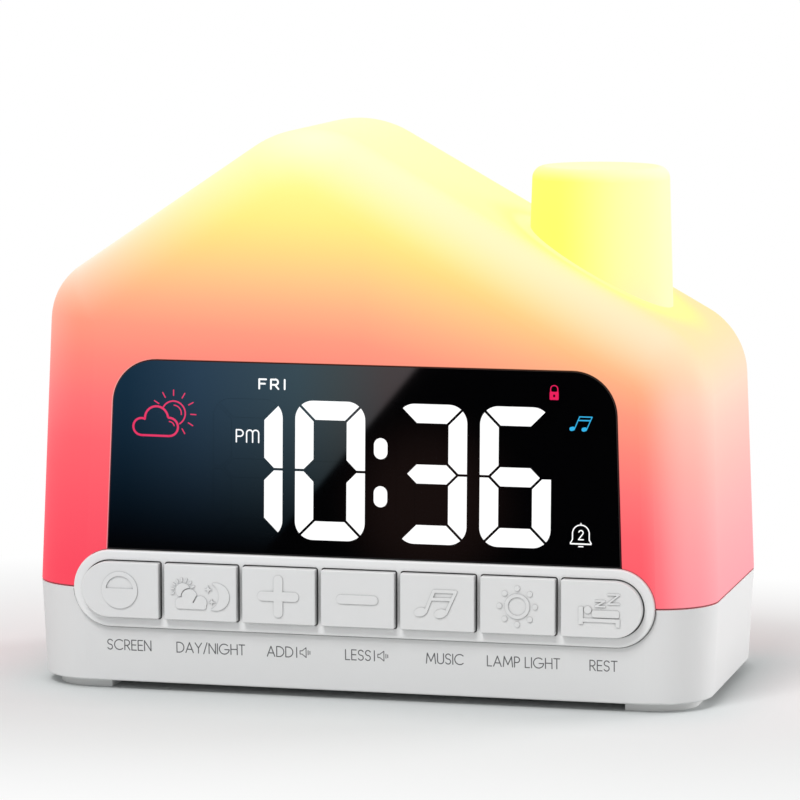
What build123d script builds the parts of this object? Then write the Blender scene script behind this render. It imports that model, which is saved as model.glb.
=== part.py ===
"""Kids' alarm clock and night light in the shape of a little house.

Millimetres, +Z up, the table at Z = 0. The front looks along -Y and +X is to the viewer's right.
The origin is under the middle of the base. Each function makes one or more of the clock's pieces.
"""
import os
from math import atan2, cos, degrees, hypot, radians, sin, tan

from build123d import *

# Overall form
body_width = 168.0
body_depth = 80.8
corner_radius = 15.2
seam_height = 25.2
seam_gap = 0.4
wall = 2.2
base_taper = 2.9
base_edge = 0.5
foot_height = 2.15

# House-shaped lamp cover, with angles in degrees
side_draft = 2.24
face_lean = 1.5
ridge_rise = 115.0
ridge_x = -17.4
left_slope = 34.0
right_slope = 29.3
left_eave_radius = 15.9
right_eave_radius = 19.1
ridge_radius = 25.2
chimney_x = 50.0
chimney_rise = 101.25
chimney_radius = 16.6
chimney_draft = 1.84
chimney_edge = 3.0

# Joint between cover and base
lip_thickness = 1.0
lip_height = 2.4
lip_clearance = 0.2
rim_overcut = 1.0

# Display, with heights up the front face from the rim of the cover
window_half = 63.85
window_top = 55.7
window_corner = 11.0
window_thickness = 1.6
window_edge = 0.3
window_gap = 0.12
digit_width = 17.2
digit_height = 33.4
digit_pitch = 20.35
digit_corner = 4.4
stroke = 4.5
segment_gap = 0.65
digit_slack = 0.03
colon_x = 4.8
colon_rise = 30.0
colon_width = 3.3
colon_height = 5.0
colon_spread = 5.75
colon_gap = 2.2
time_digits = (1, 0, 3, 6)
housing_clearance = 0.25
housing_wall = 2.5
reflector_depth = 11.0
reflector_margin = 1.0
reflector_side = 5.0
guide_depth = 5.0
board_thickness = 1.6
led_size = 1.6
led_height = 0.8
ear_length = 8.4
ear_height = 8.0
ear_thickness = 1.8
ear_reach = 3.0
ear_rim = 1.0
ear_hole_depth = 0.6
ear_rises = (22.0, 44.0)

# Key panel on the front
panel_length = 143.0
panel_height = 18.74
panel_proud = 0.9
panel_thickness = 3.0
panel_edge = 0.45
panel_skirt = 1.2
panel_skirt_depth = 2.4
panel_flange = 2.0
panel_flange_length = 116.0
panel_flange_thickness = 1.2
panel_clearance = 0.15
panel_cut_depth = 7.0
key_count = 7
key_pitch = 19.5
key_width = 18.05
key_height = 13.5
key_proud = 2.0
key_corner = 0.35
key_edge = 0.25
key_clearance = 0.3
key_flange = 0.75
key_flange_thickness = 1.0
key_wall = 1.4
key_stem_radius = 2.4
key_travel = 0.8
symbol_height = 0.3

# Switches
switch_side = 6.0
switch_height = 3.5
plunger_radius = 1.6
plunger_proud = 1.0
plunger_depth = 1.4
plunger_clearance = 0.1
switch_floor_gap = 0.2

# Rear keys and switches
rear_key_width = 8.0
rear_key_height = 5.0
rear_key_corner = 1.4
rear_key_proud = 1.6
rear_key_flange = 1.0
rear_key_travel = 0.6
rear_key_xs = (-12.0, 6.0, 24.0)
rear_switch_width = 6.0
rear_switch_depth = 4.0
rear_switch_height = 5.0
rear_plunger_radius = 1.2

# Boards inside the base
key_board_end_gap = 11.0
key_board_below = 11.2
key_board_above = 7.0
key_board_thickness = 1.6
guide_width = 5.0
guide_slot = 1.6
guide_clearance = 0.15
main_board_left = -20.0
main_board_front = -20.0
main_board_post_gap = 3.0
main_board_rear_gap = 5.2
main_board_rise = 5.8
board_post_radius = 2.6
board_post_inset = 4.0

# Lamp deck and lamp board
deck_side_gap = 1.4
deck_front_gap = 2.7
deck_rear_gap = 2.2
deck_thickness = 1.6
deck_post_radius = 3.0
deck_post_inset_x = 6.5
deck_post_inset_front = 4.5
deck_post_inset_rear = 4.0
lamp_board_length = 96.0
lamp_board_depth = 24.0
lamp_board_y = 3.0
lamp_led_side = 5.0
lamp_led_height = 1.4
lamp_led_columns = 6
lamp_led_pitch = 15.0
lamp_led_row = 5.0

# Screws
case_screw_radius = 1.5
case_screw_length = 24.0
case_head_radius = 2.9
case_head_height = 1.8
case_post_radius = 4.4
case_post_top = 20.0
case_post_inset_x = 9.5
case_post_inset_y = 16.4
case_head_seat = 6.0
hood_post_radius = 3.6
hood_post_top = 44.0
hood_rib = 2.0
small_screw_radius = 1.0
small_screw_length = 5.0
small_head_radius = 1.9
small_head_height = 1.2
screw_clearance = 0.3
thread_clearance = 0.05
seat_gap = 0.2

# Battery hatch and cell
hatch_x = 20.0
hatch_y = 3.0
hatch_width = 25.0
hatch_length = 32.0
hatch_corner = 2.0
hatch_thickness = 1.4
hatch_clearance = 0.2
hatch_hole = 21.6
hatch_screw_inset = 4.2
cell_radius = 10.0
cell_thickness = 3.2
cell_clearance = 0.15
holder_side = 23.6

# Loudspeaker
speaker_x = -46.0
speaker_y = 4.0
speaker_radius = 18.0
speaker_height = 5.2
speaker_flange = 1.2
speaker_basket_radius = 9.4
speaker_wall = 0.8
magnet_radius = 8.5
magnet_height = 4.0
speaker_ring = 1.4
speaker_ring_height = 3.0
grille_hole_radius = 1.1
grille_pitch = 4.4
grille_rings = 3

# Power inlet, a USB-C receptacle
inlet_x = 44.0
inlet_width = 8.94
inlet_height = 3.26
inlet_length = 7.9
inlet_wall = 0.3
inlet_recess = 0.4
inlet_clearance = 0.3
tongue_width = 6.6
tongue_height = 0.7
tongue_length = 6.2

# Feet
foot_inset = 3.4
foot_band = 8.0
foot_arm = 20.4

# Leads and connectors
ribbon_width = 12.0
ribbon_thickness = 0.5
ribbon_x = -6.0
key_ribbon_x = 12.0
ribbon_slot = 1.6
ribbon_plug_rim = 1.0
lead_radius = 0.8
connector_width = 8.0
connector_depth = 4.0
connector_height = 2.5
bend_share = 0.45

# Derived places
base_rim = seam_height - seam_gap / 2
hood_rim = seam_height + seam_gap / 2
floor_top = foot_height + wall
lip_top = base_rim + lip_height
front_plane = Plane(
    origin=(0, -body_depth / 2, hood_rim),
    x_dir=(1, 0, 0),
    z_dir=(0, -cos(radians(face_lean)), sin(radians(face_lean))),
)
panel_front = -body_depth / 2 - panel_proud
panel_back = panel_front + panel_thickness
key_front = panel_front - key_proud
key_flange_front = panel_back + key_clearance
key_back = key_flange_front + key_flange_thickness
skirt_back = panel_back + panel_skirt_depth
plunger_tip = key_back + key_travel + seat_gap
key_board_front = plunger_tip + plunger_proud + switch_height
key_board_back = key_board_front + key_board_thickness
key_board_half = body_width / 2 - key_board_end_gap
key_board_bottom = seam_height - key_board_below
key_board_top = seam_height + key_board_above
main_board_bottom = floor_top + main_board_rise
main_board_top = main_board_bottom + board_thickness
deck_bottom = lip_top
deck_top = deck_bottom + deck_thickness
lamp_board_top = deck_top + board_thickness
window_bottom = seam_height + panel_height / 2 + window_gap - hood_rim
display_board_back = window_thickness + reflector_depth + board_thickness
case_post_x = body_width / 2 - case_post_inset_x
case_post_y = body_depth / 2 - case_post_inset_y
deck_half = case_post_x - hood_post_radius - deck_side_gap
deck_front = key_board_back + deck_front_gap
deck_rear = body_depth / 2 - wall - lip_thickness - deck_rear_gap
deck_post_x = deck_half - deck_post_inset_x
deck_post_front = deck_front + deck_post_inset_front
deck_post_rear = deck_rear - deck_post_inset_rear
main_board_x = (main_board_left, deck_post_x - deck_post_radius - main_board_post_gap)
main_board_y = (main_board_front, body_depth / 2 - wall - main_board_rear_gap)
rear_key_z = main_board_top + rear_switch_height / 2
inlet_z = main_board_top + inlet_height / 2
rear_plunger_tip = main_board_y[1] + plunger_proud

on_floor = (Align.CENTER, Align.CENTER, Align.MIN)


def block(x, y, z):
    """A box from its low and high X, Y and Z."""
    middle = Pos((x[0] + x[1]) / 2, (y[0] + y[1]) / 2, (z[0] + z[1]) / 2)
    return middle * Box(x[1] - x[0], y[1] - y[0], z[1] - z[0])


def around(centre, half):
    """The low and high ends of a span about its centre."""
    return (centre - half, centre + half)


def rod(radius, start, length, direction=(0, 0, 1)):
    """A cylinder from a start point along a direction."""
    return Plane(origin=start, z_dir=direction) * Cylinder(radius, length, align=on_floor)


def facing(y):
    """A plane across the clock at depth y, seen from the front with Z up."""
    return Plane(origin=(0, y, 0), x_dir=(1, 0, 0), z_dir=(0, -1, 0))


def through(sketch, y_front, y_back):
    """A sketch on X and Z, made solid from one depth to another."""
    return extrude(facing(y_back) * sketch, amount=y_back - y_front)


def up_face(sketch, near, far):
    """A sketch on the leaning front face, made solid from one depth behind it to another."""
    return extrude(front_plane.offset(-far) * sketch, amount=far - near)


def save(name, *pieces):
    """Writes one node from its solids."""
    solids = [solid for piece in pieces for solid in piece.solids()]
    export_step(solids[0] if len(solids) == 1 else Compound(children=solids), f"parts/{name}.step")


def screw(seat, direction, radius, length, head_radius, head_height):
    """A pan-head screw whose head rests on the seat, with a cross recess."""
    place = Plane(origin=seat, z_dir=direction)
    shank = Cylinder(radius, length, align=on_floor)
    head = Pos(0, 0, -head_height) * Cylinder(head_radius, head_height, align=on_floor)
    slot = Box(head_radius, head_radius / 4, head_height)
    cross = Pos(0, 0, -head_height) * (slot + Rot(0, 0, 90) * slot)
    return place * (shank + head - cross)


def small_screw(seat, direction):
    return screw(
        seat, direction, small_screw_radius, small_screw_length, small_head_radius, small_head_height
    )


def pilot(seat, direction, depth, radius=small_screw_radius):
    """The hole that a screw's thread holds in."""
    return rod(radius + thread_clearance, seat, depth, direction)


def corners(x, y):
    """The four points at plus and minus x and y."""
    return [(sx * x, sy * y) for sx in (-1, 1) for sy in (-1, 1)]


def body_outline(inset):
    return RectangleRounded(body_width - 2 * inset, body_depth - 2 * inset, corner_radius - inset)


def base_inset(z):
    """How far the base's tapered wall has drawn in at a height."""
    return (base_rim - z) * tan(radians(base_taper))


def tray(inset, bottom):
    """The tapered form of the base, inset from its outer faces and down to a height."""
    down = Plane(origin=(0, 0, base_rim), z_dir=(0, 0, -1))
    return extrude(down * body_outline(inset), amount=base_rim - bottom, taper=base_taper)


def upright(inset, z):
    """The outline of the body at its seam, made solid over a range of heights."""
    return extrude(Plane(origin=(0, 0, z[0])) * body_outline(inset), amount=z[1] - z[0])


def house_corners(inset, drop):
    """Foot, eave, ridge, eave and foot of the gable, moved inwards by the inset."""
    draft, left, right = (radians(a) for a in (side_draft, left_slope, right_slope))
    half = body_width / 2 - inset / cos(draft)

    def eave(side, slope):
        top = ridge_rise - inset / cos(slope) + side * ridge_x * tan(slope)
        rise = (top - half * tan(slope)) / (1 - tan(slope) * tan(draft))
        return side * (half - rise * tan(draft)), rise

    shift = inset * (1 / cos(left) - 1 / cos(right)) / (tan(left) + tan(right))
    ridge = (ridge_x + shift, ridge_rise - inset / cos(left) + shift * tan(left))
    foot = half + drop * tan(draft)
    return [(-foot, -drop), eave(-1, left), ridge, eave(1, right), (foot, -drop)]


def house(inset, drop):
    """The solid form of the house, inset from its outer faces, from just below the cover's rim."""
    points = house_corners(inset, drop)
    gable = make_face(Polyline(*points, close=True))
    radii = (left_eave_radius, ridge_radius, right_eave_radius)
    for point, radius in zip(points[1:4], radii):
        corner = gable.vertices().sort_by_distance(Vector(*point))[0]
        gable = fillet(corner, radius - inset)
    prism = extrude(Plane.XZ * gable, amount=body_depth, both=True)
    lean = radians(face_lean)
    back_foot = body_depth / 2 - inset / cos(lean) + drop * tan(lean)
    back_top = back_foot - (ridge_rise + drop) * tan(lean)
    side = Polyline(
        (-back_foot, -drop), (-back_top, ridge_rise), (back_top, ridge_rise), (back_foot, -drop), close=True
    )
    solid = prism & extrude(Plane.YZ * make_face(side), amount=body_width, both=True)
    ends = solid.faces().filter_by(lambda face: abs(face.normal_at().Y) > cos(radians(45)))
    edges = [edge for face in ends for edge in face.edges() if edge.center().Z > rim_overcut / 10 - drop]
    return Pos(0, 0, hood_rim) * fillet(edges, corner_radius - inset)


def chimney(inset):
    """The tapered chimney, down to where the house holds it."""
    rise = chimney_rise - inset
    root = rise / 2
    radius = chimney_radius - inset
    spread = (rise - root) * tan(radians(chimney_draft))
    cone = Cone(radius + spread, radius, rise - root, align=on_floor)
    cone = fillet(cone.edges().sort_by(Axis.Z)[-1], chimney_edge - min(inset, chimney_edge / 2))
    return Pos(chimney_x, 0, hood_rim + root) * cone


def window_outline(inset, bottom):
    """The display window's outline on the front face, with its sides along the cover's draft."""
    slope = tan(radians(side_draft))
    half = window_half - inset / cos(radians(side_draft))
    top = window_top - inset
    low = (half - bottom * slope, bottom)
    high = (half - top * slope, top)
    face = make_face(Polyline((-low[0], low[1]), (-high[0], high[1]), high, low, close=True))
    return fillet(face.vertices().sort_by(Axis.Y)[-2:], window_corner - inset)


def panel_outline(grow):
    slot = SlotOverall(panel_length + 2 * grow, panel_height + 2 * grow)
    return Pos(0, seam_height) * slot


def panel_cut():
    """The way through both front walls for the key panel."""
    return through(panel_outline(panel_clearance), -body_depth, -body_depth / 2 + panel_cut_depth)


def key_place(index):
    return (index - (key_count - 1) / 2) * key_pitch


def end_key_span(x):
    """The inner and outer ends of an end key, counted from the middle of the clock."""
    return abs(x) - key_width / 2, (panel_length - panel_height + key_height) / 2


def key_outline(index, grow):
    """One key seen from the front; the first and last are round at their outer end."""
    x = key_place(index)
    side = 1 if x > 0 else -1
    corner = max(key_corner + grow, key_corner / 4)
    if 0 < index < key_count - 1:
        face = RectangleRounded(key_width + 2 * grow, key_height + 2 * grow, corner)
        return Pos(x, seam_height) * face
    inner, outer = end_key_span(x)
    radius = key_height / 2
    inner, end = inner - grow, outer - radius
    straight = Pos((inner + end) / 2, 0) * Rectangle(end - inner, key_height + 2 * grow)
    face = straight + Pos(end, 0) * Circle(radius + grow)
    face = fillet(face.vertices().sort_by(Axis.X)[:2], corner)
    return Pos(0, seam_height) * (face if side > 0 else mirror(face, Plane.YZ))


def key_middle(index):
    """The middle of a key's front, where its switch and its symbol lie."""
    x = key_place(index)
    if 0 < index < key_count - 1:
        return x
    return (1 if x > 0 else -1) * sum(end_key_span(x)) / 2


def bar(x, y, length, width, angle=0.0):
    return Pos(x, y) * Rot(0, 0, angle) * SlotOverall(length, width)


def pen_line(start, end, width):
    """A round-ended line from one point to another."""
    across, up = end[0] - start[0], end[1] - start[1]
    middle = ((start[0] + end[0]) / 2, (start[1] + end[1]) / 2)
    return bar(*middle, hypot(across, up) + width, width, degrees(atan2(up, across)))


def disc(x, y, radius):
    return Pos(x, y) * Circle(radius)


def half_ring_symbol():
    """A disc with its upper half sunk, for the dimmer."""
    upper = Pos(0, 2.6) * Rectangle(9.0, 4.4)
    return Circle(4.5) - (Circle(3.45) & upper)


def cloud_shape(grow):
    rounds = ((-4.7, -2.5, 1.4), (-2.6, -0.95, 1.9), (0.15, -2.25, 1.6))
    lobes = [disc(x, y, radius + grow) for x, y, radius in rounds]
    return Pos(-2.2, -3.1) * RectangleRounded(7.6 + 2 * grow, 1.6 + 2 * grow, 0.75 + grow) + lobes


def four_point_star(x, y, reach):
    bites = [disc(0.72 * reach * sx, 0.72 * reach * sy, 0.62 * reach) for sx, sy in corners(1, 1)]
    return Pos(x, y) * (RegularPolygon(reach, 4) - bites)


def day_and_night_symbol():
    """A sun behind a cloud, with a moon and two stars."""
    sun_x, sun_y, ray_place = -4.2, 0.55, 2.7
    sun = disc(sun_x, sun_y, 1.8) - cloud_shape(0.25)
    turns = [radians(22 + 25 * count) for count in range(8)]
    rays = [
        bar(sun_x + ray_place * cos(turn), sun_y + ray_place * sin(turn), 0.95, 0.4, degrees(turn))
        for turn in turns
    ]
    cloud = cloud_shape(0.0) - pen_line((-1.6, -2.2), (-0.6, -0.4), 0.35)
    moon = disc(4.0, -0.7, 3.35) - disc(1.3, -0.6, 3.5)
    stars = [four_point_star(2.1, 1.0, 1.0), four_point_star(3.0, -2.0, 0.8)]
    return cloud + sun + rays + moon + stars


def plus_symbol():
    return bar(0, 0, 10.2, 2.25) + bar(0, 0, 10.2, 2.25, 90)


def minus_symbol():
    return bar(0, 0, 10.2, 2.15)


def notes_symbol():
    """Two joined music notes that lean to the right."""
    pen = 0.75
    stems = [pen_line((-2.75, -2.2), (-0.7, 2.85), pen), pen_line((2.2, -2.4), (4.6, 2.85), pen)]
    beams = [pen_line((-0.7, 2.85), (4.6, 2.85), pen), pen_line((-1.5, 0.95), (3.7, 0.95), pen)]
    heads = [Pos(x, y) * Rot(0, 0, 15) * Ellipse(1.55, 1.05) for x, y in ((-4.0, -2.3), (0.9, -2.5))]
    return stems[0] + stems[1:] + beams + heads


def sun_symbol():
    """A ring with eight dots round it, for the lamp's brightness."""
    dots = [place * Circle(0.63) for place in PolarLocations(4.3, 8)]
    return Circle(3.0) - Circle(2.2) + dots


def bed_symbol():
    """A bed with a pillow, a blanket and two rising snooze marks."""
    post = Pos(-4.85, -1.5) * Rectangle(1.1, 4.2)
    frame = [Pos(0, -2.55) * Rectangle(9.0, 0.85), Pos(4.0, -3.3) * Rectangle(1.0, 1.5)]
    bedding = [disc(-3.2, -0.1, 0.9), Pos(1.1, -1.0) * RectangleRounded(6.6, 1.7, 0.6)]
    marks = []
    for left, right, low, high in ((-1.4, 0.9, 0.8, 2.1), (1.6, 4.3, 1.5, 3.7)):
        marks.append(pen_line((left, high), (right, high), 0.4))
        marks.append(pen_line((right, high), (left, low), 0.4))
        marks.append(pen_line((left, low), (right, low), 0.4))
    return post + frame + bedding + marks


keys = (
    ("dimmer_key", half_ring_symbol),
    ("day_night_key", day_and_night_symbol),
    ("plus_key", plus_symbol),
    ("minus_key", minus_symbol),
    ("music_key", notes_symbol),
    ("lamp_level_key", sun_symbol),
    ("sleep_key", bed_symbol),
)
rear_keys = ("clock_set_key", "first_alarm_key", "second_alarm_key")

# Which of its seven bars each figure lights, clockwise from the top, then the middle
lit_bars = {0: "abcdef", 1: "bc", 3: "abcdg", 6: "acdefg"}


def bar_corners():
    """The corners of a figure's seven bars about its middle, before its outer corners are rounded."""
    w, h, s = digit_width / 2, digit_height / 2, stroke
    g, flat = segment_gap / 2 * 2**0.5, segment_gap / 2
    tip = w - s / 2 + g - flat
    side = [(w, flat), (w, h - g), (w - s, h - s - g), (w - s, s / 2 + g), (tip, flat)]
    cap = [(-w + g, h), (w - g, h), (w - s - g, h - s), (-w + s + g, h - s)]
    middle_tip, shoulder = w - s / 2 - g, w - s - g
    middle = [
        (-middle_tip, 0), (-shoulder, s / 2), (shoulder, s / 2),
        (middle_tip, 0), (shoulder, -s / 2), (-shoulder, -s / 2),
    ]
    return {
        "a": cap,
        "b": side,
        "c": [(x, -y) for x, y in side],
        "d": [(x, -y) for x, y in cap],
        "e": [(-x, -y) for x, y in side],
        "f": [(-x, y) for x, y in side],
        "g": middle,
    }


def figure_bars(grow):
    """Lit and dark bars of the four figures and the colon, as outlines on the front face."""
    outline = RectangleRounded(digit_width + 2 * grow, digit_height + 2 * grow, digit_corner + grow)
    lit, dark = [], []
    for place, figure in enumerate(time_digits):
        side = -1 if place < 2 else 1
        outer = 1 if place in (0, 3) else 0
        x = colon_x + side * (figures_half() - digit_width / 2 - digit_pitch * (1 - outer))
        for name, points in bar_corners().items():
            bar_face = make_face(Polyline(*points, close=True))
            if grow:
                bar_face = offset(bar_face, grow, kind=Kind.INTERSECTION)
            face = Pos(x, colon_rise) * (bar_face & outline)
            (lit if name in lit_bars[figure] else dark).append(face)
    for side in (-1, 1):
        dot = Rot(0, 0, 90) * SlotOverall(colon_height + 2 * grow, colon_width + 2 * grow)
        lit.append(Pos(colon_x, colon_rise + side * colon_spread) * dot)
    return lit, dark


def base_shell():
    """The white tray: floor, tapered wall, lip, posts, guides and openings."""
    shell = tray(0, foot_height)
    bottom_edges = shell.faces().sort_by(Axis.Z)[0].edges()
    shell = fillet(bottom_edges, base_edge) - tray(wall, floor_top)
    lip_outer = wall - lip_thickness
    lip = upright(lip_outer, (base_rim - lip_height, lip_top)) - upright(wall, (floor_top, lip_top))
    shell += lip
    shell -= panel_cut()
    for x, y in corners(case_post_x, case_post_y):
        shell += rod(case_post_radius, (x, y, foot_height), case_post_top - foot_height)
        shell -= rod(case_head_radius + screw_clearance, (x, y, 0), case_head_seat)
        shell -= rod(case_screw_radius + screw_clearance, (x, y, 0), case_post_top)
    for x, y in deck_posts():
        shell += rod(deck_post_radius, (x, y, foot_height), deck_bottom - foot_height)
        shell -= pilot((x, y, deck_bottom), (0, 0, -1), small_screw_length + seat_gap)
    for x, y in board_posts():
        shell += rod(board_post_radius, (x, y, foot_height), main_board_bottom - foot_height)
        shell -= pilot((x, y, main_board_bottom), (0, 0, -1), small_screw_length + seat_gap)
    for side in (-1, 1):
        shell += key_board_guide(side)
    ring_height = wall + speaker_ring_height
    ring = rod(speaker_radius + speaker_ring, (speaker_x, speaker_y, foot_height), ring_height)
    well = rod(speaker_radius + seat_gap, (speaker_x, speaker_y, floor_top), speaker_ring_height)
    shell += ring - well
    holes = [Pos(0, 0)]
    for number in range(1, grille_rings):
        holes += list(PolarLocations(number * grille_pitch, 6 * number))
    drill = Cylinder(grille_hole_radius, wall, align=on_floor)
    shell -= [Pos(speaker_x, speaker_y, foot_height) * hole * drill for hole in holes]
    shell -= hatch_cuts()
    shell += hatch_boss() - hatch_pilot()
    shell -= hatch_pilot()
    for x in rear_key_xs:
        shell -= through(rear_key_outline(x, hatch_clearance), body_depth / 2 - wall * 2, body_depth)
    inlet_hole = SlotOverall(inlet_width + 2 * inlet_clearance, inlet_height + 2 * inlet_clearance)
    shell -= through(Pos(inlet_x, inlet_z) * inlet_hole, body_depth / 2 - wall * 2, body_depth)
    return shell


def deck_posts():
    return [(side * deck_post_x, y) for side in (-1, 1) for y in (deck_post_front, deck_post_rear)]


def board_posts():
    xs = (main_board_x[0] + board_post_inset, main_board_x[1] - board_post_inset)
    ys = (main_board_y[0] + board_post_inset, main_board_y[1] - board_post_inset * 2)
    return [(x, y) for x in xs for y in ys]


def key_board_guide(side):
    """A slotted post that holds one end of the upright key board."""
    end = key_board_half
    inner = end - guide_slot
    x = (side * inner, side * (inner + guide_width))
    slot_x = (side * (inner - guide_slot), side * (end + guide_clearance))
    wide = (key_board_front - guide_slot, key_board_back + guide_slot)
    slot = (key_board_front - guide_clearance, key_board_back + guide_clearance)
    post = block(sorted(x), wide, (foot_height, seam_height))
    return post - block(sorted(slot_x), slot, (key_board_bottom, seam_height))


def hatch_cuts():
    """The rebate for the battery door and the hole that the cell passes."""
    rebate_outline = RectangleRounded(hatch_width, hatch_length, hatch_corner)
    place = Pos(hatch_x, hatch_y + hatch_shift(), foot_height)
    rebate = extrude(place * rebate_outline, amount=hatch_thickness)
    hole = extrude(Pos(hatch_x, hatch_y, foot_height) * Circle(hatch_hole / 2), amount=wall)
    return rebate + hole


def hatch_shift():
    """How far the door reaches past the cell on its screw side."""
    return -(hatch_length - hatch_width) / 2


def hatch_screw_point():
    return (hatch_x, hatch_y + hatch_shift() - hatch_length / 2 + hatch_screw_inset, foot_height)


def hatch_boss():
    x, y, z = hatch_screw_point()
    return rod(board_post_radius, (x, y, z + hatch_thickness), small_screw_length + seat_gap)


def hatch_pilot():
    depth = small_head_height / 2 + small_screw_length + seat_gap
    return pilot(hatch_screw_point(), (0, 0, 1), depth)


def battery_door():
    slack = hatch_clearance
    outline = RectangleRounded(hatch_width - 2 * slack, hatch_length - 2 * slack, hatch_corner - slack)
    door = extrude(Pos(hatch_x, hatch_y + hatch_shift(), foot_height) * outline, amount=hatch_thickness)
    x, y, z = hatch_screw_point()
    door -= rod(small_head_radius + screw_clearance, (x, y, z), small_head_height / 2)
    door -= rod(small_screw_radius + thread_clearance * 2, (x, y, z), hatch_thickness)
    grip = SlotOverall(hatch_width / 3, hatch_clearance * 4)
    for step in range(3):
        y = hatch_y + hatch_shift() + hatch_length / 2 - (step + 1) * hatch_corner * 1.2
        door -= extrude(Pos(hatch_x, y, foot_height) * grip, amount=hatch_thickness / 3)
    return door


def house_cover():
    """The glowing cover with its chimney, window opening, panel notch and screw posts."""
    shell = house(0, 0) + chimney(0) - house(wall, rim_overcut) - chimney(wall)
    shell -= upright(wall - lip_thickness - lip_clearance, (0, lip_top + lip_clearance))
    opening = window_outline(0, 0)
    shell -= up_face(opening, -wall, wall * 2)
    shell -= panel_cut()
    inside = house(wall / 2, 0)
    for x, y in corners(case_post_x, case_post_y):
        post_z = (case_post_top + seat_gap, hood_post_top)
        shell += rod(hood_post_radius, (x, y, post_z[0]), post_z[1] - post_z[0])
        reach = sorted((x, x + (1 if x > 0 else -1) * case_post_inset_x))
        rib = block(reach, around(y, hood_rib / 2), (lip_top + 2 * lip_clearance, hood_post_top))
        shell += rib & inside
        depth = case_head_seat + case_screw_length + seat_gap - post_z[0]
        shell -= pilot((x, y, post_z[0]), (0, 0, 1), depth, case_screw_radius)
    for u, v in ear_points():
        boss = Pos(u, v) * Circle(small_head_radius + ear_rim)
        hole = Pos(u, v) * Circle(small_screw_radius + thread_clearance)
        shell += up_face(boss, wall / 2, wall + ear_reach)
        shell -= up_face(hole, wall - ear_hole_depth, wall + ear_reach)
    return shell


def ear_points():
    """Where the display housing is screwed to the cover, on the front face."""
    points = []
    for v in ear_rises:
        u = window_half - v * tan(radians(side_draft)) + ear_length / 2
        points += [(-u, v), (u, v)]
    return points


def display_window(lit, dark):
    pane = up_face(window_outline(window_gap, window_bottom), 0, window_thickness)
    rim = pane.faces().sort_by(Axis.Y)[0].edges()
    pane = chamfer(rim, window_edge)
    for face in lit + dark:
        pane -= up_face(face, -window_edge, window_thickness * 2)
    return pane


def display_housing():
    """The black light-tight box behind the window, with four screwed ears."""
    outer = window_outline(housing_clearance, window_bottom + housing_clearance)
    inset = housing_clearance + housing_wall
    inner = window_outline(inset, window_bottom + inset)
    box = up_face(outer - inner, window_thickness, display_board_back)
    seat = wall + ear_reach
    for u, v in ear_points():
        side = 1 if u > 0 else -1
        root = u - side * (ear_length / 2 + housing_wall / 2)
        tip = u + side * (small_head_radius + ear_rim)
        ear = Pos((root + tip) / 2, v) * Rectangle(abs(tip - root), ear_height)
        hole = Pos(u, v) * Circle(small_screw_radius + screw_clearance)
        ear_plate = up_face(ear, seat, seat + ear_thickness)
        box += ear_plate
        box -= up_face(hole, seat, seat + ear_thickness)
    return box


def figures_half():
    """Half the width of the four figures and the colon."""
    return colon_width / 2 + colon_gap + digit_pitch + digit_width


def digit_reflector(lit, dark):
    """The white block whose cells keep each bar's light apart."""
    back = window_thickness + reflector_depth
    width = 2 * (figures_half() + reflector_side)
    outline = Pos(colon_x, colon_rise) * Rectangle(width, digit_height + 2 * reflector_margin)
    cells = up_face(outline, window_thickness, back)
    for face in lit + dark:
        cells -= up_face(face, window_thickness, back)
    for u, v in reflector_screws():
        cells -= pilot(front_point(u, v, back), front_plane.z_dir, small_screw_length)
    return cells


def reflector_screws():
    half_width = figures_half() + reflector_side / 2
    half_height = digit_height / 2 - small_head_radius * 2
    return [(colon_x + x, colon_rise + y) for x, y in corners(half_width, half_height)]


def front_point(u, v, depth):
    """A point in space from its place on the front face and its depth behind it."""
    return front_plane.offset(-depth).from_local_coords((u, v, 0))


def display_board():
    margin = housing_clearance + housing_wall + seat_gap
    outline = window_outline(margin, window_bottom + margin)
    near = window_thickness + reflector_depth
    board = up_face(outline, near, display_board_back)
    for u, v in reflector_screws():
        hole = Pos(u, v) * Circle(small_screw_radius + screw_clearance)
        board -= up_face(hole, near, display_board_back)
    return board


def display_leds(lit, dark):
    near = window_thickness + reflector_depth
    chips = []
    for face in lit + dark:
        centre = face.center()
        chip = Pos(centre.X, centre.Y) * Rectangle(led_size, led_size)
        chips.append(up_face(chip, near - led_height, near))
    return chips


def key_panel():
    """The long rounded panel that frames the seven keys."""
    slab = through(panel_outline(0), panel_front, panel_back)
    front = slab.faces().sort_by(Axis.Y)[0]
    slab = fillet(front.edges(), panel_edge)
    skirt = through(panel_outline(0) - panel_outline(-panel_skirt), panel_back, skirt_back)
    lower = seam_height - panel_height / 2
    flange = block(
        around(0, panel_flange_length / 2),
        (skirt_back - panel_flange_thickness, skirt_back),
        (lower - panel_flange, lower + panel_skirt),
    )
    slab = slab + skirt + flange
    for index in range(key_count):
        slab -= through(key_outline(index, key_clearance), key_front, panel_back)
    return slab


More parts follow.
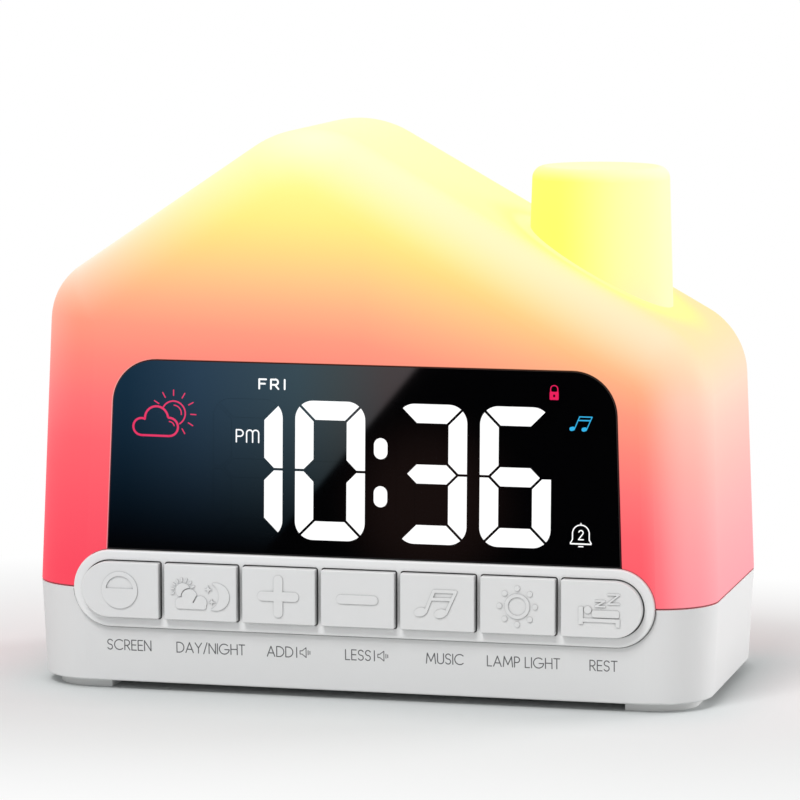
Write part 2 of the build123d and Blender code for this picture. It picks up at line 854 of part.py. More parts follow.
def front_key(index, symbol):
    """One key: cap, flange behind the panel, stem to its switch and raised symbol."""
    cap = through(key_outline(index, 0), key_front, key_back)
    cap = fillet(cap.faces().sort_by(Axis.Y)[0].edges(), key_edge)
    hollow = through(key_outline(index, -key_wall), key_front + key_wall, key_back)
    middle = key_middle(index)
    span = key_width - 2 * key_corner
    flange = block(
        around(middle, span / 2),
        (key_flange_front, key_back),
        around(seam_height, key_height / 2 + key_flange),
    )
    if index in (0, key_count - 1):
        flange = flange & through(key_outline(index, key_flange), key_flange_front, key_back)
    key = cap + flange - hollow
    stem_start = key_front + key_wall / 2
    key += rod(key_stem_radius, (middle, stem_start, seam_height), plunger_tip - stem_start, (0, 1, 0))
    raised = facing(key_front) * (Pos(middle, seam_height) * symbol())
    return key + extrude(raised, amount=symbol_height)


def front_plunger(index):
    start = (key_middle(index), plunger_tip, seam_height)
    return rod(plunger_radius, start, plunger_proud + plunger_depth, (0, 1, 0))


def front_switch(index):
    """A soft-feel switch on the key board, with the bore that its plunger slides in."""
    face = plunger_tip + plunger_proud
    x = key_middle(index)
    case = block(around(x, switch_side / 2), (face, key_board_front), around(seam_height, switch_side / 2))
    depth = plunger_depth + key_travel + switch_floor_gap
    return case - rod(plunger_radius + plunger_clearance, (x, face, seam_height), depth, (0, 1, 0))


def key_board():
    depth = (key_board_front, key_board_back)
    return block(around(0, key_board_half), depth, (key_board_bottom, key_board_top))


def rear_key_outline(x, grow):
    face = RectangleRounded(rear_key_width + 2 * grow, rear_key_height + 2 * grow, rear_key_corner + grow)
    return Pos(x, rear_key_z) * face


def rear_wall(z):
    """The depth of the rear wall's outer face at a height."""
    return body_depth / 2 - base_inset(z)


def rear_key(x):
    """One small key in the rear wall, with its flange and the stem that reaches its switch."""
    low = rear_key_z - rear_key_height / 2 - rear_key_flange
    flange_rear = rear_wall(low) - wall / cos(radians(base_taper)) - key_clearance
    flange_front = flange_rear - key_flange_thickness
    outer = rear_wall(rear_key_z) + rear_key_proud
    cap = through(rear_key_outline(x, 0), flange_front, outer)
    cap = fillet(cap.faces().sort_by(Axis.Y)[-1].edges(), key_edge)
    cap += through(rear_key_outline(x, rear_key_flange), flange_front, flange_rear)
    stem_start = (x, rear_plunger_tip, rear_key_z)
    return cap + rod(rear_plunger_radius * 1.5, stem_start, flange_rear - rear_plunger_tip, (0, 1, 0))


def rear_plunger(x):
    length = plunger_proud + plunger_depth
    return rod(rear_plunger_radius, (x, rear_plunger_tip, rear_key_z), length, (0, -1, 0))


def rear_switch(x):
    y = (main_board_y[1] - rear_switch_depth, main_board_y[1])
    case = block(around(x, rear_switch_width / 2), y, (main_board_top, main_board_top + rear_switch_height))
    depth = plunger_depth + rear_key_travel + switch_floor_gap
    return case - rod(rear_plunger_radius + plunger_clearance, (x, y[1], rear_key_z), depth, (0, -1, 0))


def main_board():
    board = block(main_board_x, main_board_y, (main_board_bottom, main_board_top))
    for x, y in board_posts():
        board -= rod(small_screw_radius + screw_clearance, (x, y, main_board_bottom), board_thickness)
    return board


def power_inlet():
    """The receptacle's metal shell and the contact tongue inside it."""
    mouth = rear_wall(inlet_z) - inlet_recess
    back = mouth - inlet_length
    outer = Pos(inlet_x, inlet_z) * SlotOverall(inlet_width, inlet_height)
    inner = Pos(inlet_x, inlet_z) * SlotOverall(inlet_width - 2 * inlet_wall, inlet_height - 2 * inlet_wall)
    shell = through(outer, back, mouth) - through(inner, back + inlet_wall * 4, mouth)
    tongue = Pos(inlet_x, inlet_z) * Rectangle(tongue_width, tongue_height)
    return shell, through(tongue, back + inlet_wall * 4, back + inlet_wall * 4 + tongue_length)


def cell_and_holder():
    pocket_top = main_board_bottom - wall / 2
    holder_bottom = floor_top + seat_gap
    side = holder_side / 2
    height = (holder_bottom, main_board_bottom)
    holder = block(around(hatch_x, side), around(hatch_y, side), height)
    pocket_depth = pocket_top - holder_bottom
    holder -= rod(cell_radius + cell_clearance, (hatch_x, hatch_y, holder_bottom), pocket_depth)
    cell = rod(cell_radius, (hatch_x, hatch_y, pocket_top - cell_thickness), cell_thickness)
    return holder, fillet(cell.edges(), cell_clearance * 2)


def speaker():
    """Basket, cone and magnet of the loudspeaker, which faces down through the floor's grille."""
    z = floor_top
    top = z + speaker_height
    inner = speaker_radius - 2 * speaker_flange - speaker_wall
    place = Pos(speaker_x, speaker_y, z)
    outline = Polyline(
        (inner, 0),
        (speaker_radius, 0),
        (speaker_radius, speaker_flange),
        (inner + speaker_wall * 2, speaker_flange),
        (speaker_basket_radius + speaker_wall, speaker_height),
        (0, speaker_height),
        (0, speaker_height - speaker_wall),
        (speaker_basket_radius, speaker_height - speaker_wall),
        (inner, speaker_flange),
        close=True,
    )
    basket = place * revolve(Plane.XZ * make_face(outline), Axis.Z)
    reach = inner - seat_gap
    throat = speaker_basket_radius - speaker_wall * 2
    low, high = speaker_flange / 3, speaker_height - speaker_wall * 2
    cone_line = Polyline(
        (0, high - speaker_wall), (throat - speaker_wall, high - speaker_wall), (reach, low),
        (reach, low + speaker_wall), (throat, high), (0, high), close=True,
    )
    cone = place * revolve(Plane.XZ * make_face(cone_line), Axis.Z)
    magnet = rod(magnet_radius, (speaker_x, speaker_y, top), magnet_height)
    return basket, cone, magnet


def lamp_deck():
    """The white deck above the electronics that carries the lamp board."""
    deck = block(around(0, deck_half), (deck_front, deck_rear), (deck_bottom, deck_top))
    for x, y in deck_posts():
        deck -= rod(small_screw_radius + screw_clearance, (x, y, deck_bottom), deck_thickness)
    slot_back = ribbon_depth() + ribbon_slot
    deck -= block(
        around(ribbon_x, ribbon_width / 2 + ribbon_slot), (deck_front, slot_back), (deck_bottom, deck_top)
    )
    deck -= rod(lead_radius * 3, (lamp_lead_x(), lamp_lead_y(), deck_bottom), deck_thickness)
    for x, y in lamp_screws():
        deck -= pilot((x, y, deck_bottom), (0, 0, 1), deck_thickness)
    return deck


def lamp_screws():
    half = lamp_board_length / 2 - board_post_inset
    return [(side * half, lamp_board_y) for side in (-1, 1)]


def lamp_board():
    board = block(
        around(0, lamp_board_length / 2),
        around(lamp_board_y, lamp_board_depth / 2),
        (deck_top, lamp_board_top),
    )
    for x, y in lamp_screws():
        board -= rod(small_screw_radius + screw_clearance, (x, y, deck_top), board_thickness)
    return board


def lamp_leds():
    chips = []
    for column in range(lamp_led_columns):
        x = (column - (lamp_led_columns - 1) / 2) * lamp_led_pitch
        for row in (-1, 1):
            y = lamp_board_y + row * lamp_led_row
            z = (lamp_board_top, lamp_board_top + lamp_led_height)
            chips.append(block(around(x, lamp_led_side / 2), around(y, lamp_led_side / 2), z))
    return chips


def ribbon_depth():
    """How deep the display's ribbon hangs, at the middle of its connector."""
    return front_point(0, window_bottom, display_board_back + connector_height / 2).Y


def connector_rise():
    """The height of the leads above the main board where they enter its connectors."""
    return main_board_top + connector_height / 2


def board_connector(x, y):
    """A connector on the main board."""
    return block(
        around(x, connector_width / 2),
        around(y, connector_depth / 2),
        (main_board_top, main_board_top + connector_height),
    )


def lamp_lead_x():
    return lamp_board_length / 2 - 3 * board_post_inset


def lamp_lead_y():
    return lamp_board_y + lamp_board_depth / 2 + connector_depth * 2


def front_connector_y():
    return main_board_y[0] + connector_depth


def display_link_rise():
    """How high on the front face the display board's connector sits."""
    return window_bottom + housing_wall + connector_depth


def connectors_and_chips():
    """Connectors and the controller on the three boards."""
    plug = ribbon_width / 2 + ribbon_plug_rim
    on_display = Pos(ribbon_x, display_link_rise()) * Rectangle(2 * plug, connector_depth)
    back = display_board_back
    pieces = [up_face(on_display, back, back + connector_height)]
    pieces.append(
        block(
            around(key_ribbon_x, plug),
            (key_board_back, key_board_back + connector_height),
            around(key_link_z(), connector_depth / 2),
        )
    )
    y = front_connector_y()
    for x in (ribbon_x, key_ribbon_x):
        pieces.append(
            block(
                around(x, plug),
                around(y, connector_depth / 2),
                (main_board_top, main_board_top + connector_height),
            )
        )
    pieces.append(board_connector(lamp_lead_x(), lamp_link_y()))
    pieces.append(
        block(
            around(main_board_x[0] + connector_depth, connector_depth / 2),
            around(speaker_y, connector_width / 2),
            (main_board_top, main_board_top + connector_height),
        )
    )
    pieces.append(
        block(
            around(lamp_lead_x(), connector_width / 2),
            around(lamp_board_y + lamp_board_depth / 2 - connector_depth / 2, connector_depth / 2),
            (lamp_board_top, lamp_board_top + connector_height),
        )
    )
    chip_side = switch_side * 2
    pieces.append(
        block(
            around(hatch_x, chip_side / 2),
            around(hatch_y, chip_side / 2),
            (main_board_top, main_board_top + plunger_radius),
        )
    )
    return pieces


def key_link_z():
    return seam_height - switch_side


def lamp_link_y():
    return lamp_lead_y() - connector_depth * 3


def route(points, x):
    """A lead's line from Y and Z points, with bends as large as its runs allow."""
    spots = [Vector(x, y, z) for y, z in points]
    runs = [(b - a).length for a, b in zip(spots, spots[1:])]
    radii = [bend_share * min(a, b) for a, b in zip(runs, runs[1:])]
    return FilletPolyline(*spots, radius=radii)


def flat_lead(points, x, direction):
    start = Plane(origin=(x, *points[0]), x_dir=(1, 0, 0), z_dir=direction)
    return sweep(start * Rectangle(ribbon_width, ribbon_thickness), path=route(points, x))


def display_ribbon():
    top = front_point(ribbon_x, display_link_rise() - connector_depth / 2, display_board_back).Z - seat_gap
    y = ribbon_depth()
    end = front_connector_y() - connector_depth / 2
    return flat_lead([(y, top), (y, connector_rise()), (end, connector_rise())], ribbon_x, (0, 0, -1))


def key_ribbon():
    start = key_board_back + connector_height
    end = front_connector_y() - connector_depth / 2
    middle = (start + end) / 2
    high, low = key_link_z(), connector_rise()
    points = [(start, high), (middle, high), (middle, low), (end, low)]
    return flat_lead(points, key_ribbon_x, (0, 1, 0))


def lamp_lead():
    """The two-core lead from the lamp board down through the deck."""
    high = lamp_board_top + connector_height / 2
    low = connector_rise()
    start = lamp_board_y + lamp_board_depth / 2
    end = lamp_link_y() + connector_depth / 2
    points = [(start, high), (lamp_lead_y(), high), (lamp_lead_y(), low), (end, low)]
    cores = []
    for side in (-1, 1):
        x = lamp_lead_x() + side * lead_radius * 1.1
        section = Plane(origin=(x, *points[0]), z_dir=(0, 1, 0)) * Circle(lead_radius)
        cores.append(sweep(section, path=route(points, x)))
    return cores


def speaker_lead():
    """The two-core lead from the loudspeaker's basket up to the main board."""
    start = speaker_x + speaker_basket_radius + speaker_wall
    low = floor_top + speaker_height + lead_radius + magnet_height / 3
    rise_x = (speaker_x + speaker_radius + speaker_ring + main_board_x[0]) / 2
    end = main_board_x[0] + connector_depth / 2
    cores = []
    for side in (-1, 1):
        y = speaker_y + side * lead_radius * 1.1
        points = [Vector(x, y, z) for x, z in (
            (start, low), (rise_x, low), (rise_x, connector_rise()), (end, connector_rise())
        )]
        runs = [(b - a).length for a, b in zip(points, points[1:])]
        radii = [bend_share * min(a, b) for a, b in zip(runs, runs[1:])]
        section = Plane(origin=points[0], z_dir=(1, 0, 0)) * Circle(lead_radius)
        cores.append(sweep(section, path=FilletPolyline(*points, radius=radii)))
    return cores


def foot(side_x, side_y):
    """One soft pad that follows a corner of the base."""
    start = base_inset(foot_height) + foot_inset
    band = body_outline(start) - body_outline(start + foot_band)
    reach = Pos(
        side_x * (body_width / 2 - foot_arm / 2), side_y * (body_depth / 2 - foot_arm / 2)
    ) * Rectangle(foot_arm, foot_arm)
    return extrude(band & reach, amount=foot_height)


def case_screws():
    return [
        screw((x, y, case_head_seat), (0, 0, 1), case_screw_radius, case_screw_length,
              case_head_radius, case_head_height)
        for x, y in corners(case_post_x, case_post_y)
    ]


def build():
    os.makedirs("parts", exist_ok=True)
    save("base_shell", base_shell())
    for side_y, end_name in ((-1, "front"), (1, "rear")):
        for side_x, side_name in ((-1, "left"), (1, "right")):
            save(f"foot_{end_name}_{side_name}", foot(side_x, side_y))
    save("battery_door", battery_door())
    x, y, z = hatch_screw_point()
    save("battery_door_screw", small_screw((x, y, z + small_head_height / 2), (0, 0, 1)))
    save("house_cover", house_cover())
    save("case_screws", *case_screws())

    lit, dark = figure_bars(0)
    lit_holes, dark_holes = figure_bars(digit_slack)
    save("display_window", display_window(lit_holes, dark_holes))
    save("lit_bars", *[up_face(face, 0, guide_depth) for face in lit])
    save("dark_bars", *[up_face(face, 0, guide_depth) for face in dark])
    save("display_housing", display_housing())
    save("digit_reflector", digit_reflector(lit_holes, dark_holes))
    save("display_board", display_board())
    save("display_leds", *display_leds(lit, dark))
    into_front = front_plane.z_dir
    ear_seat = wall + ear_reach + ear_thickness
    screws = [small_screw(front_point(*spot, ear_seat), into_front) for spot in ear_points()]
    screws += [small_screw(front_point(*spot, display_board_back), into_front) for spot in reflector_screws()]
    save("display_screws", *screws)

    save("key_panel", key_panel())
    for index, (name, symbol) in enumerate(keys):
        save(name, front_key(index, symbol))
        save(name.replace("_key", "_plunger"), front_plunger(index))
    save("key_board", key_board())
    save("key_switches", *[front_switch(index) for index in range(key_count)])

    for name, x in zip(rear_keys, rear_key_xs):
        save(name, rear_key(x))
        save(name.replace("_key", "_plunger"), rear_plunger(x))
    save("rear_switches", *[rear_switch(x) for x in rear_key_xs])

    save("main_board", main_board())
    save("main_board_screws", *[small_screw((x, y, main_board_top), (0, 0, -1)) for x, y in board_posts()])
    save("connectors_and_chips", *connectors_and_chips())
    inlet_shell, inlet_tongue = power_inlet()
    save("power_inlet_shell", inlet_shell)
    save("power_inlet_tongue", inlet_tongue)
    holder, cell = cell_and_holder()
    save("cell_holder", holder)
    save("coin_cell", cell)
    basket, cone, magnet = speaker()
    save("speaker_basket", basket)
    save("speaker_cone", cone)
    save("speaker_magnet", magnet)

    save("lamp_deck", lamp_deck())
    deck_screws = [small_screw((x, y, deck_top), (0, 0, -1)) for x, y in deck_posts()]
    deck_screws += [small_screw((x, y, lamp_board_top), (0, 0, -1)) for x, y in lamp_screws()]
    save("deck_screws", *deck_screws)
    save("lamp_board", lamp_board())
    save("lamp_leds", *lamp_leds())
    save("display_ribbon", display_ribbon())
    save("key_ribbon", key_ribbon())
    save("lamp_lead", *lamp_lead())
    save("speaker_lead", *speaker_lead())


build()
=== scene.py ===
# %% [markdown]
# # A house-shaped alarm clock and night light
# This lesson dresses a finished CAD model in Blender.
# The CAD part gives every solid of the clock, in metres, with the table at Z = 0 and the display facing -Y.
# The solids stay as they are. What Blender adds is how they look: glowing plastic, satin mouldings,
# black glass, lit signs and printed words.

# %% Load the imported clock
from math import cos, radians, sin, tan

import bmesh
import bpy
from mathutils import Matrix, Vector


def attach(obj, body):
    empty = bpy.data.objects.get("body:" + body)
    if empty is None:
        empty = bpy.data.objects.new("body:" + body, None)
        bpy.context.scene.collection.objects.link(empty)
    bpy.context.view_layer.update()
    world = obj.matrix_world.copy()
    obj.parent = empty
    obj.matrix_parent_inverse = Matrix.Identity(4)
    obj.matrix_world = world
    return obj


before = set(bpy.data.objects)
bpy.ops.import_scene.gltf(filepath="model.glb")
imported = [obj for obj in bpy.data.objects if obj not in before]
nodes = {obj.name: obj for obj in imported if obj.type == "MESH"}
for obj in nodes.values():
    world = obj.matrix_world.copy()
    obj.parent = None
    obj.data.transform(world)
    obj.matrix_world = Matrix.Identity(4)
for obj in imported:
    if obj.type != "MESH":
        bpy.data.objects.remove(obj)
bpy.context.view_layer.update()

# %% [markdown]
# ## Units and colours
# Sizes below are written in millimetres, as on a drawing, and multiplied by MM.
# Colours are written as the hex values of a paint program. Blender's shaders count in linear light,
# so one function turns a hex value into the four linear numbers that a colour socket takes.

# %% Millimetres and hex colours
MM = 0.001


def linear(code):
    """The linear red, green, blue and alpha of an sRGB hex colour."""
    parts = [int(code[i:i + 2], 16) / 255 for i in (1, 3, 5)]
    return [p / 12.92 if p <= 0.04045 else ((p + 0.055) / 1.055) ** 2.4 for p in parts] + [1.0]


print("mid grey #808080 is", round(linear("#808080")[0], 3), "in linear light")

# %% [markdown]
# ## One way to add a node
# A material is a small graph. Every node below is made by the same helper: the kind of node, what goes
# into its sockets (a value, or the output that feeds it), and its own settings. Sums, ranges, blends, noise
# and the closing shader come back so often that each has a short function of its own on top of it.

# %% Helpers for node trees
def new_material(name):
    """An empty material and its node tree."""
    material = bpy.data.materials.new(name)
    material.use_nodes = True
    material.node_tree.nodes.clear()
    return material, material.node_tree


def add(tree, kind, inputs=None, **settings):
    """Adds a node with its settings; each input is a value or the output socket that drives it."""
    node = tree.nodes.new("ShaderNode" + kind)
    for name, value in settings.items():
        setattr(node, name, value)
    for name, value in (inputs or {}).items():
        if isinstance(value, bpy.types.NodeSocket):
            tree.links.new(value, node.inputs[name])
        else:
            node.inputs[name].default_value = value
    return node


def calc(tree, operation, *values, **settings):
    """What a Math node gives; each value is a number or the output that drives it."""
    return add(tree, "Math", dict(enumerate(values)), operation=operation, **settings).outputs[0]


def vector_calc(tree, operation, *values):
    """What a Vector Math node gives: a number for a length or a distance, else a vector."""
    node = add(tree, "VectorMath", dict(enumerate(values)), operation=operation)
    return node.outputs["Value" if operation in ("LENGTH", "DISTANCE") else "Vector"]


def rescale(tree, value, low, high, to_low=0.0, to_high=1.0, smooth=False):
    """What a Map Range node gives: to_low at low, to_high at high, and the same values held beyond them."""
    sockets = {"Value": value, "From Min": low, "From Max": high, "To Min": to_low, "To Max": to_high}
    curve = "SMOOTHSTEP" if smooth else "LINEAR"
    return add(tree, "MapRange", sockets, interpolation_type=curve).outputs[0]


def blend(tree, share, first, second):
    """What a colour Mix node gives: the first colour at share 0 and the second at share 1."""
    node = add(tree, "Mix", {"Factor": share, "A": first, "B": second}, data_type="RGBA")
    return node.outputs["Result"]


def tinted(tree, code, tone):
    """A hex colour times a tone, where a tone of 1 leaves it as it is."""
    return add(tree, "VectorMath", {0: linear(code)[:3], "Scale": tone}, operation="SCALE").outputs[0]


def noise(tree, size, detail):
    """What a noise texture in Object coordinates gives, its patches about so many millimetres across."""
    place = add(tree, "TexCoord").outputs["Object"]
    node = add(tree, "TexNoise", {"Vector": place, "Scale": 1 / (size * MM), "Detail": detail})
    return node.outputs["Fac"]


def skin(tree, sockets):
    """Closes a material with a Principled shader that has these sockets."""
    shader = add(tree, "BsdfPrincipled", sockets)
    add(tree, "OutputMaterial", {"Surface": shader.outputs[0]})


def set_stops(ramp, stops):
    """Fills a colour ramp with stops: a place from 0 to 1 and a hex colour."""
    elements = ramp.color_ramp.elements
    while len(elements) < len(stops):
        elements.new(1.0)
    for element, (place, code) in zip(elements, stops):
        element.position = place
        element.color = linear(code)


def dress(material, *names):
    """Gives CAD nodes a material, in place of the plain one that they came with."""
    for name in names:
        slots = nodes[name].material_slots
        for slot in slots:
            slot.material = material
        if not slots:
            nodes[name].data.materials.append(material)


print("nodes to dress:", len(nodes))

# %% [markdown]
# ## Camera
# The photograph was taken from a little to the right and a little above, through a long lens, which keeps
# the upright edges almost parallel. The camera circles a point in the middle of the clock: two angles, a
# distance and a focal length say all there is to say.

# %% A long lens from the right and above
view_turn, view_rise = radians(13.85), radians(6.97)
view_distance = 1092.16 * MM
view_target = Vector((-0.19, 0.0, 67.98)) * MM
view_back = Vector((sin(view_turn) * cos(view_rise), -cos(view_turn) * cos(view_rise), sin(view_rise)))
camera_data = bpy.data.cameras.new("camera")
camera_data.sensor_width = 36.0
camera_data.lens = 199.46
camera_data.clip_start = 0.05
camera = bpy.data.objects.new("camera", camera_data)
camera.location = view_target + view_back * view_distance
camera.rotation_euler = view_back.to_track_quat("Z", "Y").to_euler()
bpy.context.scene.collection.objects.link(camera)
bpy.context.scene.camera = camera
bpy.context.scene.view_settings.view_transform = "Standard"
print("camera at", [round(v, 3) for v in camera.location])

# %% [markdown]
# ## Studio
# The clock stands on a white sweep in soft light, and the world lights it evenly from all round. The key lamp
# hangs in front, high and a little to the left. The side lamp stands low behind the clock, on its right, and
# makes the end wall brighter than the front.
# The white that the camera sees is a separate, constant white: a Light Path node tells the camera's rays
# from the rays that carry light to the clock, so the backdrop can be white without flooding the object.

# %% World light and white backdrop
def is_ray(tree, *kinds):
    """1 for rays of the given kinds, such as Camera or Glossy, and 0 for all others."""
    path = add(tree, "LightPath")
    flag = path.outputs[f"Is {kinds[0]} Ray"]
    for kind in kinds[1:]:
        flag = calc(tree, "MAXIMUM", flag, path.outputs[f"Is {kind} Ray"])
    return flag


world = bpy.data.worlds.new("studio")
bpy.context.scene.world = world
world.use_nodes = True
tree = world.node_tree
tree.nodes.clear()
seen = is_ray(tree, "Camera", "Glossy", "Transmission")
soft_light = add(tree, "Background", {"Color": linear("#FFFFFF"), "Strength": 0.47})
white_sweep = add(tree, "Background", {"Color": linear("#FFFFFF"), "Strength": 1.0})
either = add(tree, "MixShader", {0: seen, 1: soft_light.outputs[0], 2: white_sweep.outputs[0]})
add(tree, "OutputWorld", {"Surface": either.outputs[0]})
print("world strength for light", soft_light.inputs["Strength"].default_value)


# %% Lamps
def lamp(name, place, aim, size, power):
    """A square area lamp at a place in metres that looks at a point."""
    data = bpy.data.lights.new(name, "AREA")
    data.shape = "SQUARE"
    data.size = size
    data.energy = power
    lamp_object = bpy.data.objects.new(name, data)
    lamp_object.location = place
    lamp_object.rotation_euler = (Vector(place) - Vector(aim)).to_track_quat("Z", "Y").to_euler()
    bpy.context.scene.collection.objects.link(lamp_object)


middle = (0.0, 0.0, 0.06)
lamp("key_lamp", (-0.25, -1.05, 1.3), middle, 0.6, 13.6)
lamp("side_lamp", (1.05, 0.8, 0.3), middle, 0.6, 9.4)

# %% [markdown]
# ## Floor
# Near the clock the floor is matt white card and takes its soft shadow. Further out it turns into the
# constant white of the backdrop, so there is no horizon line. How far a point lies outside a rectangle under
# the clock's front decides between the two, and only the rays that the camera or a reflection sends get the
# constant white. An Ambient Occlusion node deepens the shadow where the base comes close to the card.

# %% A white floor that fades into the sweep
floor_bm = bmesh.new()
bmesh.ops.create_grid(floor_bm, x_segments=1, y_segments=1, size=3.0)
floor_mesh = bpy.data.meshes.new("floor")
floor_bm.to_mesh(floor_mesh)
floor_bm.free()
floor = bpy.data.objects.new("floor", floor_mesh)
bpy.context.scene.collection.objects.link(floor)

near_middle = Vector((0.0, -12.5, 0.0)) * MM
near_half = Vector((84.0, 27.5, 0.0)) * MM
fade_from, fade_to, contact_reach = 20 * MM, 150 * MM, 28 * MM
card_white, tree = new_material("white_card")
centred = vector_calc(tree, "SUBTRACT", add(tree, "TexCoord").outputs["Object"], near_middle)
beyond = vector_calc(tree, "SUBTRACT", vector_calc(tree, "ABSOLUTE", centred), near_half)
outside = vector_calc(tree, "MAXIMUM", beyond, (0.0, 0.0, 0.0))
far = rescale(tree, vector_calc(tree, "LENGTH", outside), fade_from, fade_to)
share = calc(tree, "MULTIPLY", far, is_ray(tree, "Camera", "Glossy"))
openness = add(tree, "AmbientOcclusion", {"Distance": contact_reach}, samples=8).outputs["AO"]
contact = rescale(tree, openness, 0.45, 0.95, to_low=0.8)
card = add(tree, "BsdfDiffuse", {"Color": tinted(tree, "#EBEEEE", contact)})
white = add(tree, "Emission", {"Color": linear("#FFFFFF"), "Strength": 1.0})
mixed = add(tree, "MixShader", {0: share, 1: card.outputs[0], 2: white.outputs[0]})
add(tree, "OutputMaterial", {"Surface": mixed.outputs[0]})
floor.data.materials.append(card_white)
print("floor", floor.dimensions[:2])

# %% [markdown]
# ## Satin moulded ABS
# The base, the key panel and the keys are injection-moulded ABS. The steel mould is spark-eroded, which
# leaves a fine, even grain, so the plastic has a soft sheen and no sharp reflections. ABS has an index of
# refraction of about 1.53.
# The grain could be a displaced mesh, but at a few hundredths of a millimetre a bump is enough. A real
# spark-eroded grain is about 0.1 mm across; it is drawn at 0.3 mm here, or it would vanish between pixels.
# Every moulded edge has a small radius that the CAD solids leave out. The Bevel node rounds the light on
# those edges without touching the mesh.
# Little light gets into the fine gaps round the keys. An Ambient Occlusion node finds them and darkens the
# colour there. The panel is a brighter white than the base, and its node looks further out, so that the
# hollow round each key shows as a soft ring.

# %% One finish for every moulded piece
def moulded_plastic(
    name, colour, roughness, edge, grain=0.3, depth=0.02, ior=1.53, crevice=0.0, clear=0.85, reach=1.6
):
    """Satin moulded plastic, with edge, grain and depth in millimetres.

    Crevice is the share of light lost deep in a gap, clear is the openness above which none is lost, and
    reach is how far a wall can be, in millimetres, and still close a gap.
    """
    material, tree = new_material(name)
    spark = noise(tree, grain, 2.0)
    cloudy = noise(tree, 25.0, 3.0)
    tone = rescale(tree, cloudy, 0.3, 0.7, 0.985, 1.0)
    if crevice > 0.0:
        openness = add(tree, "AmbientOcclusion", {"Distance": reach * MM}, samples=8).outputs["AO"]
        tone = calc(tree, "MULTIPLY", tone, rescale(tree, openness, 0.15, clear, to_low=1.0 - crevice))
    sheen = rescale(tree, spark, 0.3, 0.7, roughness - 0.04, roughness + 0.04)
    rounded = add(tree, "Bevel", {"Radius": edge * MM}, samples=6)
    bump = add(tree, "Bump", {
        "Height": spark, "Distance": depth * MM, "Strength": 0.5, "Normal": rounded.outputs[0],
    })
    skin(tree, {
        "Base Color": tinted(tree, colour, tone), "Roughness": sheen, "IOR": ior, "Normal": bump.outputs[0],
    })
    return material


white_abs = moulded_plastic("white_spark_eroded_abs", "#E3E3E3", 0.46, 0.2, crevice=0.5)
key_abs = moulded_plastic("white_key_abs", "#E4E4E4", 0.42, 0.05, crevice=0.65)
panel_abs = moulded_plastic("white_panel_abs", "#EDEDED", 0.44, 0.2, crevice=0.8, clear=0.72, reach=3.0)
grey_abs = moulded_plastic("grey_moulded_abs", "#A2A3A5", 0.48, 0.3)
front_keys = ["dimmer", "day_night", "plus", "minus", "music", "lamp_level", "sleep"]
rear_keys = ["clock_set", "first_alarm", "second_alarm"]
dress(white_abs, "base_shell", "battery_door")
dress(panel_abs, "key_panel")
dress(key_abs, *[key + "_key" for key in front_keys])
dress(grey_abs, *[key + "_key" for key in rear_keys])
print("moulded pieces:", 3 + len(front_keys) + len(rear_keys))

# %% [markdown]
# ## The glowing cover
# The house is blown in milky polypropylene with coloured LEDs behind it: coral at the foot, peach in the
# middle, pale yellow under the ridge and lemon in the chimney. Light that has bounced about inside a milky
# wall leaves it evenly in all directions, so the cover looks flat and soft, with hardly any shading.
# Real light transport through the wall would be slow and noisy. Instead the skin itself emits: a colour
# ramp over the height, read in Object coordinates, gives the glow, and a darker copy of it is the plastic's
# own colour. Where the roof and the right-hand end wall catch the studio's light, that light is painted in:
# there the glow is mixed with warm white, as a painted highlight. That mix reads the surface's own normal,
# which belongs to the clock. On the left slope the painted highlight is palest at its eave. The light in the
# chimney also falls on the roof round its foot; it is painted there as a lemon halo.

# %% Coral to pale yellow over the height
cover, tree = new_material("milky_polypropylene")
place = add(tree, "TexCoord")
xyz = add(tree, "SeparateXYZ", {0: place.outputs["Object"]})

# The LEDs spread unevenly: each millimetre to the right, the same colour stands this much lower, and each
# millimetre to the left it stands this much higher.
lean_right, lean_left = 0.235, 0.06
right = calc(tree, "MAXIMUM", xyz.outputs["X"], 0.0)
left = calc(tree, "MINIMUM", xyz.outputs["X"], 0.0)
height = calc(tree, "MULTIPLY_ADD", right, lean_right, xyz.outputs["Z"])
height = calc(tree, "MULTIPLY_ADD", left, lean_left, height)
glow_low, glow_high = 25.0, 140.0
level = rescale(tree, height, glow_low * MM, glow_high * MM)


def glow_ramp(stops):
    """A colour ramp over the height, its stops given as millimetres and hex colours."""
    ramp = add(tree, "ValToRGB", {"Fac": level})
    set_stops(ramp, [((z - glow_low) / (glow_high - glow_low), code) for z, code in stops])
    return ramp.outputs["Color"]


glow = glow_ramp((
    (25, "#FA455A"), (41, "#FC5262"), (57, "#FD6069"), (67, "#FE7172"), (77, "#FE8577"), (86, "#FD997D"),
    (93, "#FDB083"), (100, "#FDC785"), (107, "#FDDB82"), (114, "#FDED83"), (121, "#FBF78C"), (135, "#FCFCA8"),
))
print("height runs from", glow_low, "to", glow_high, "mm")

# %% Painted highlight where the studio light lands
facing = add(tree, "SeparateXYZ", {0: place.outputs["Normal"]})
to_right = facing.outputs["X"]
to_top = calc(tree, "MAXIMUM", facing.outputs["Z"], 0.0)
to_front = calc(tree, "MAXIMUM", calc(tree, "MULTIPLY", facing.outputs["Y"], -1.0), 0.0)
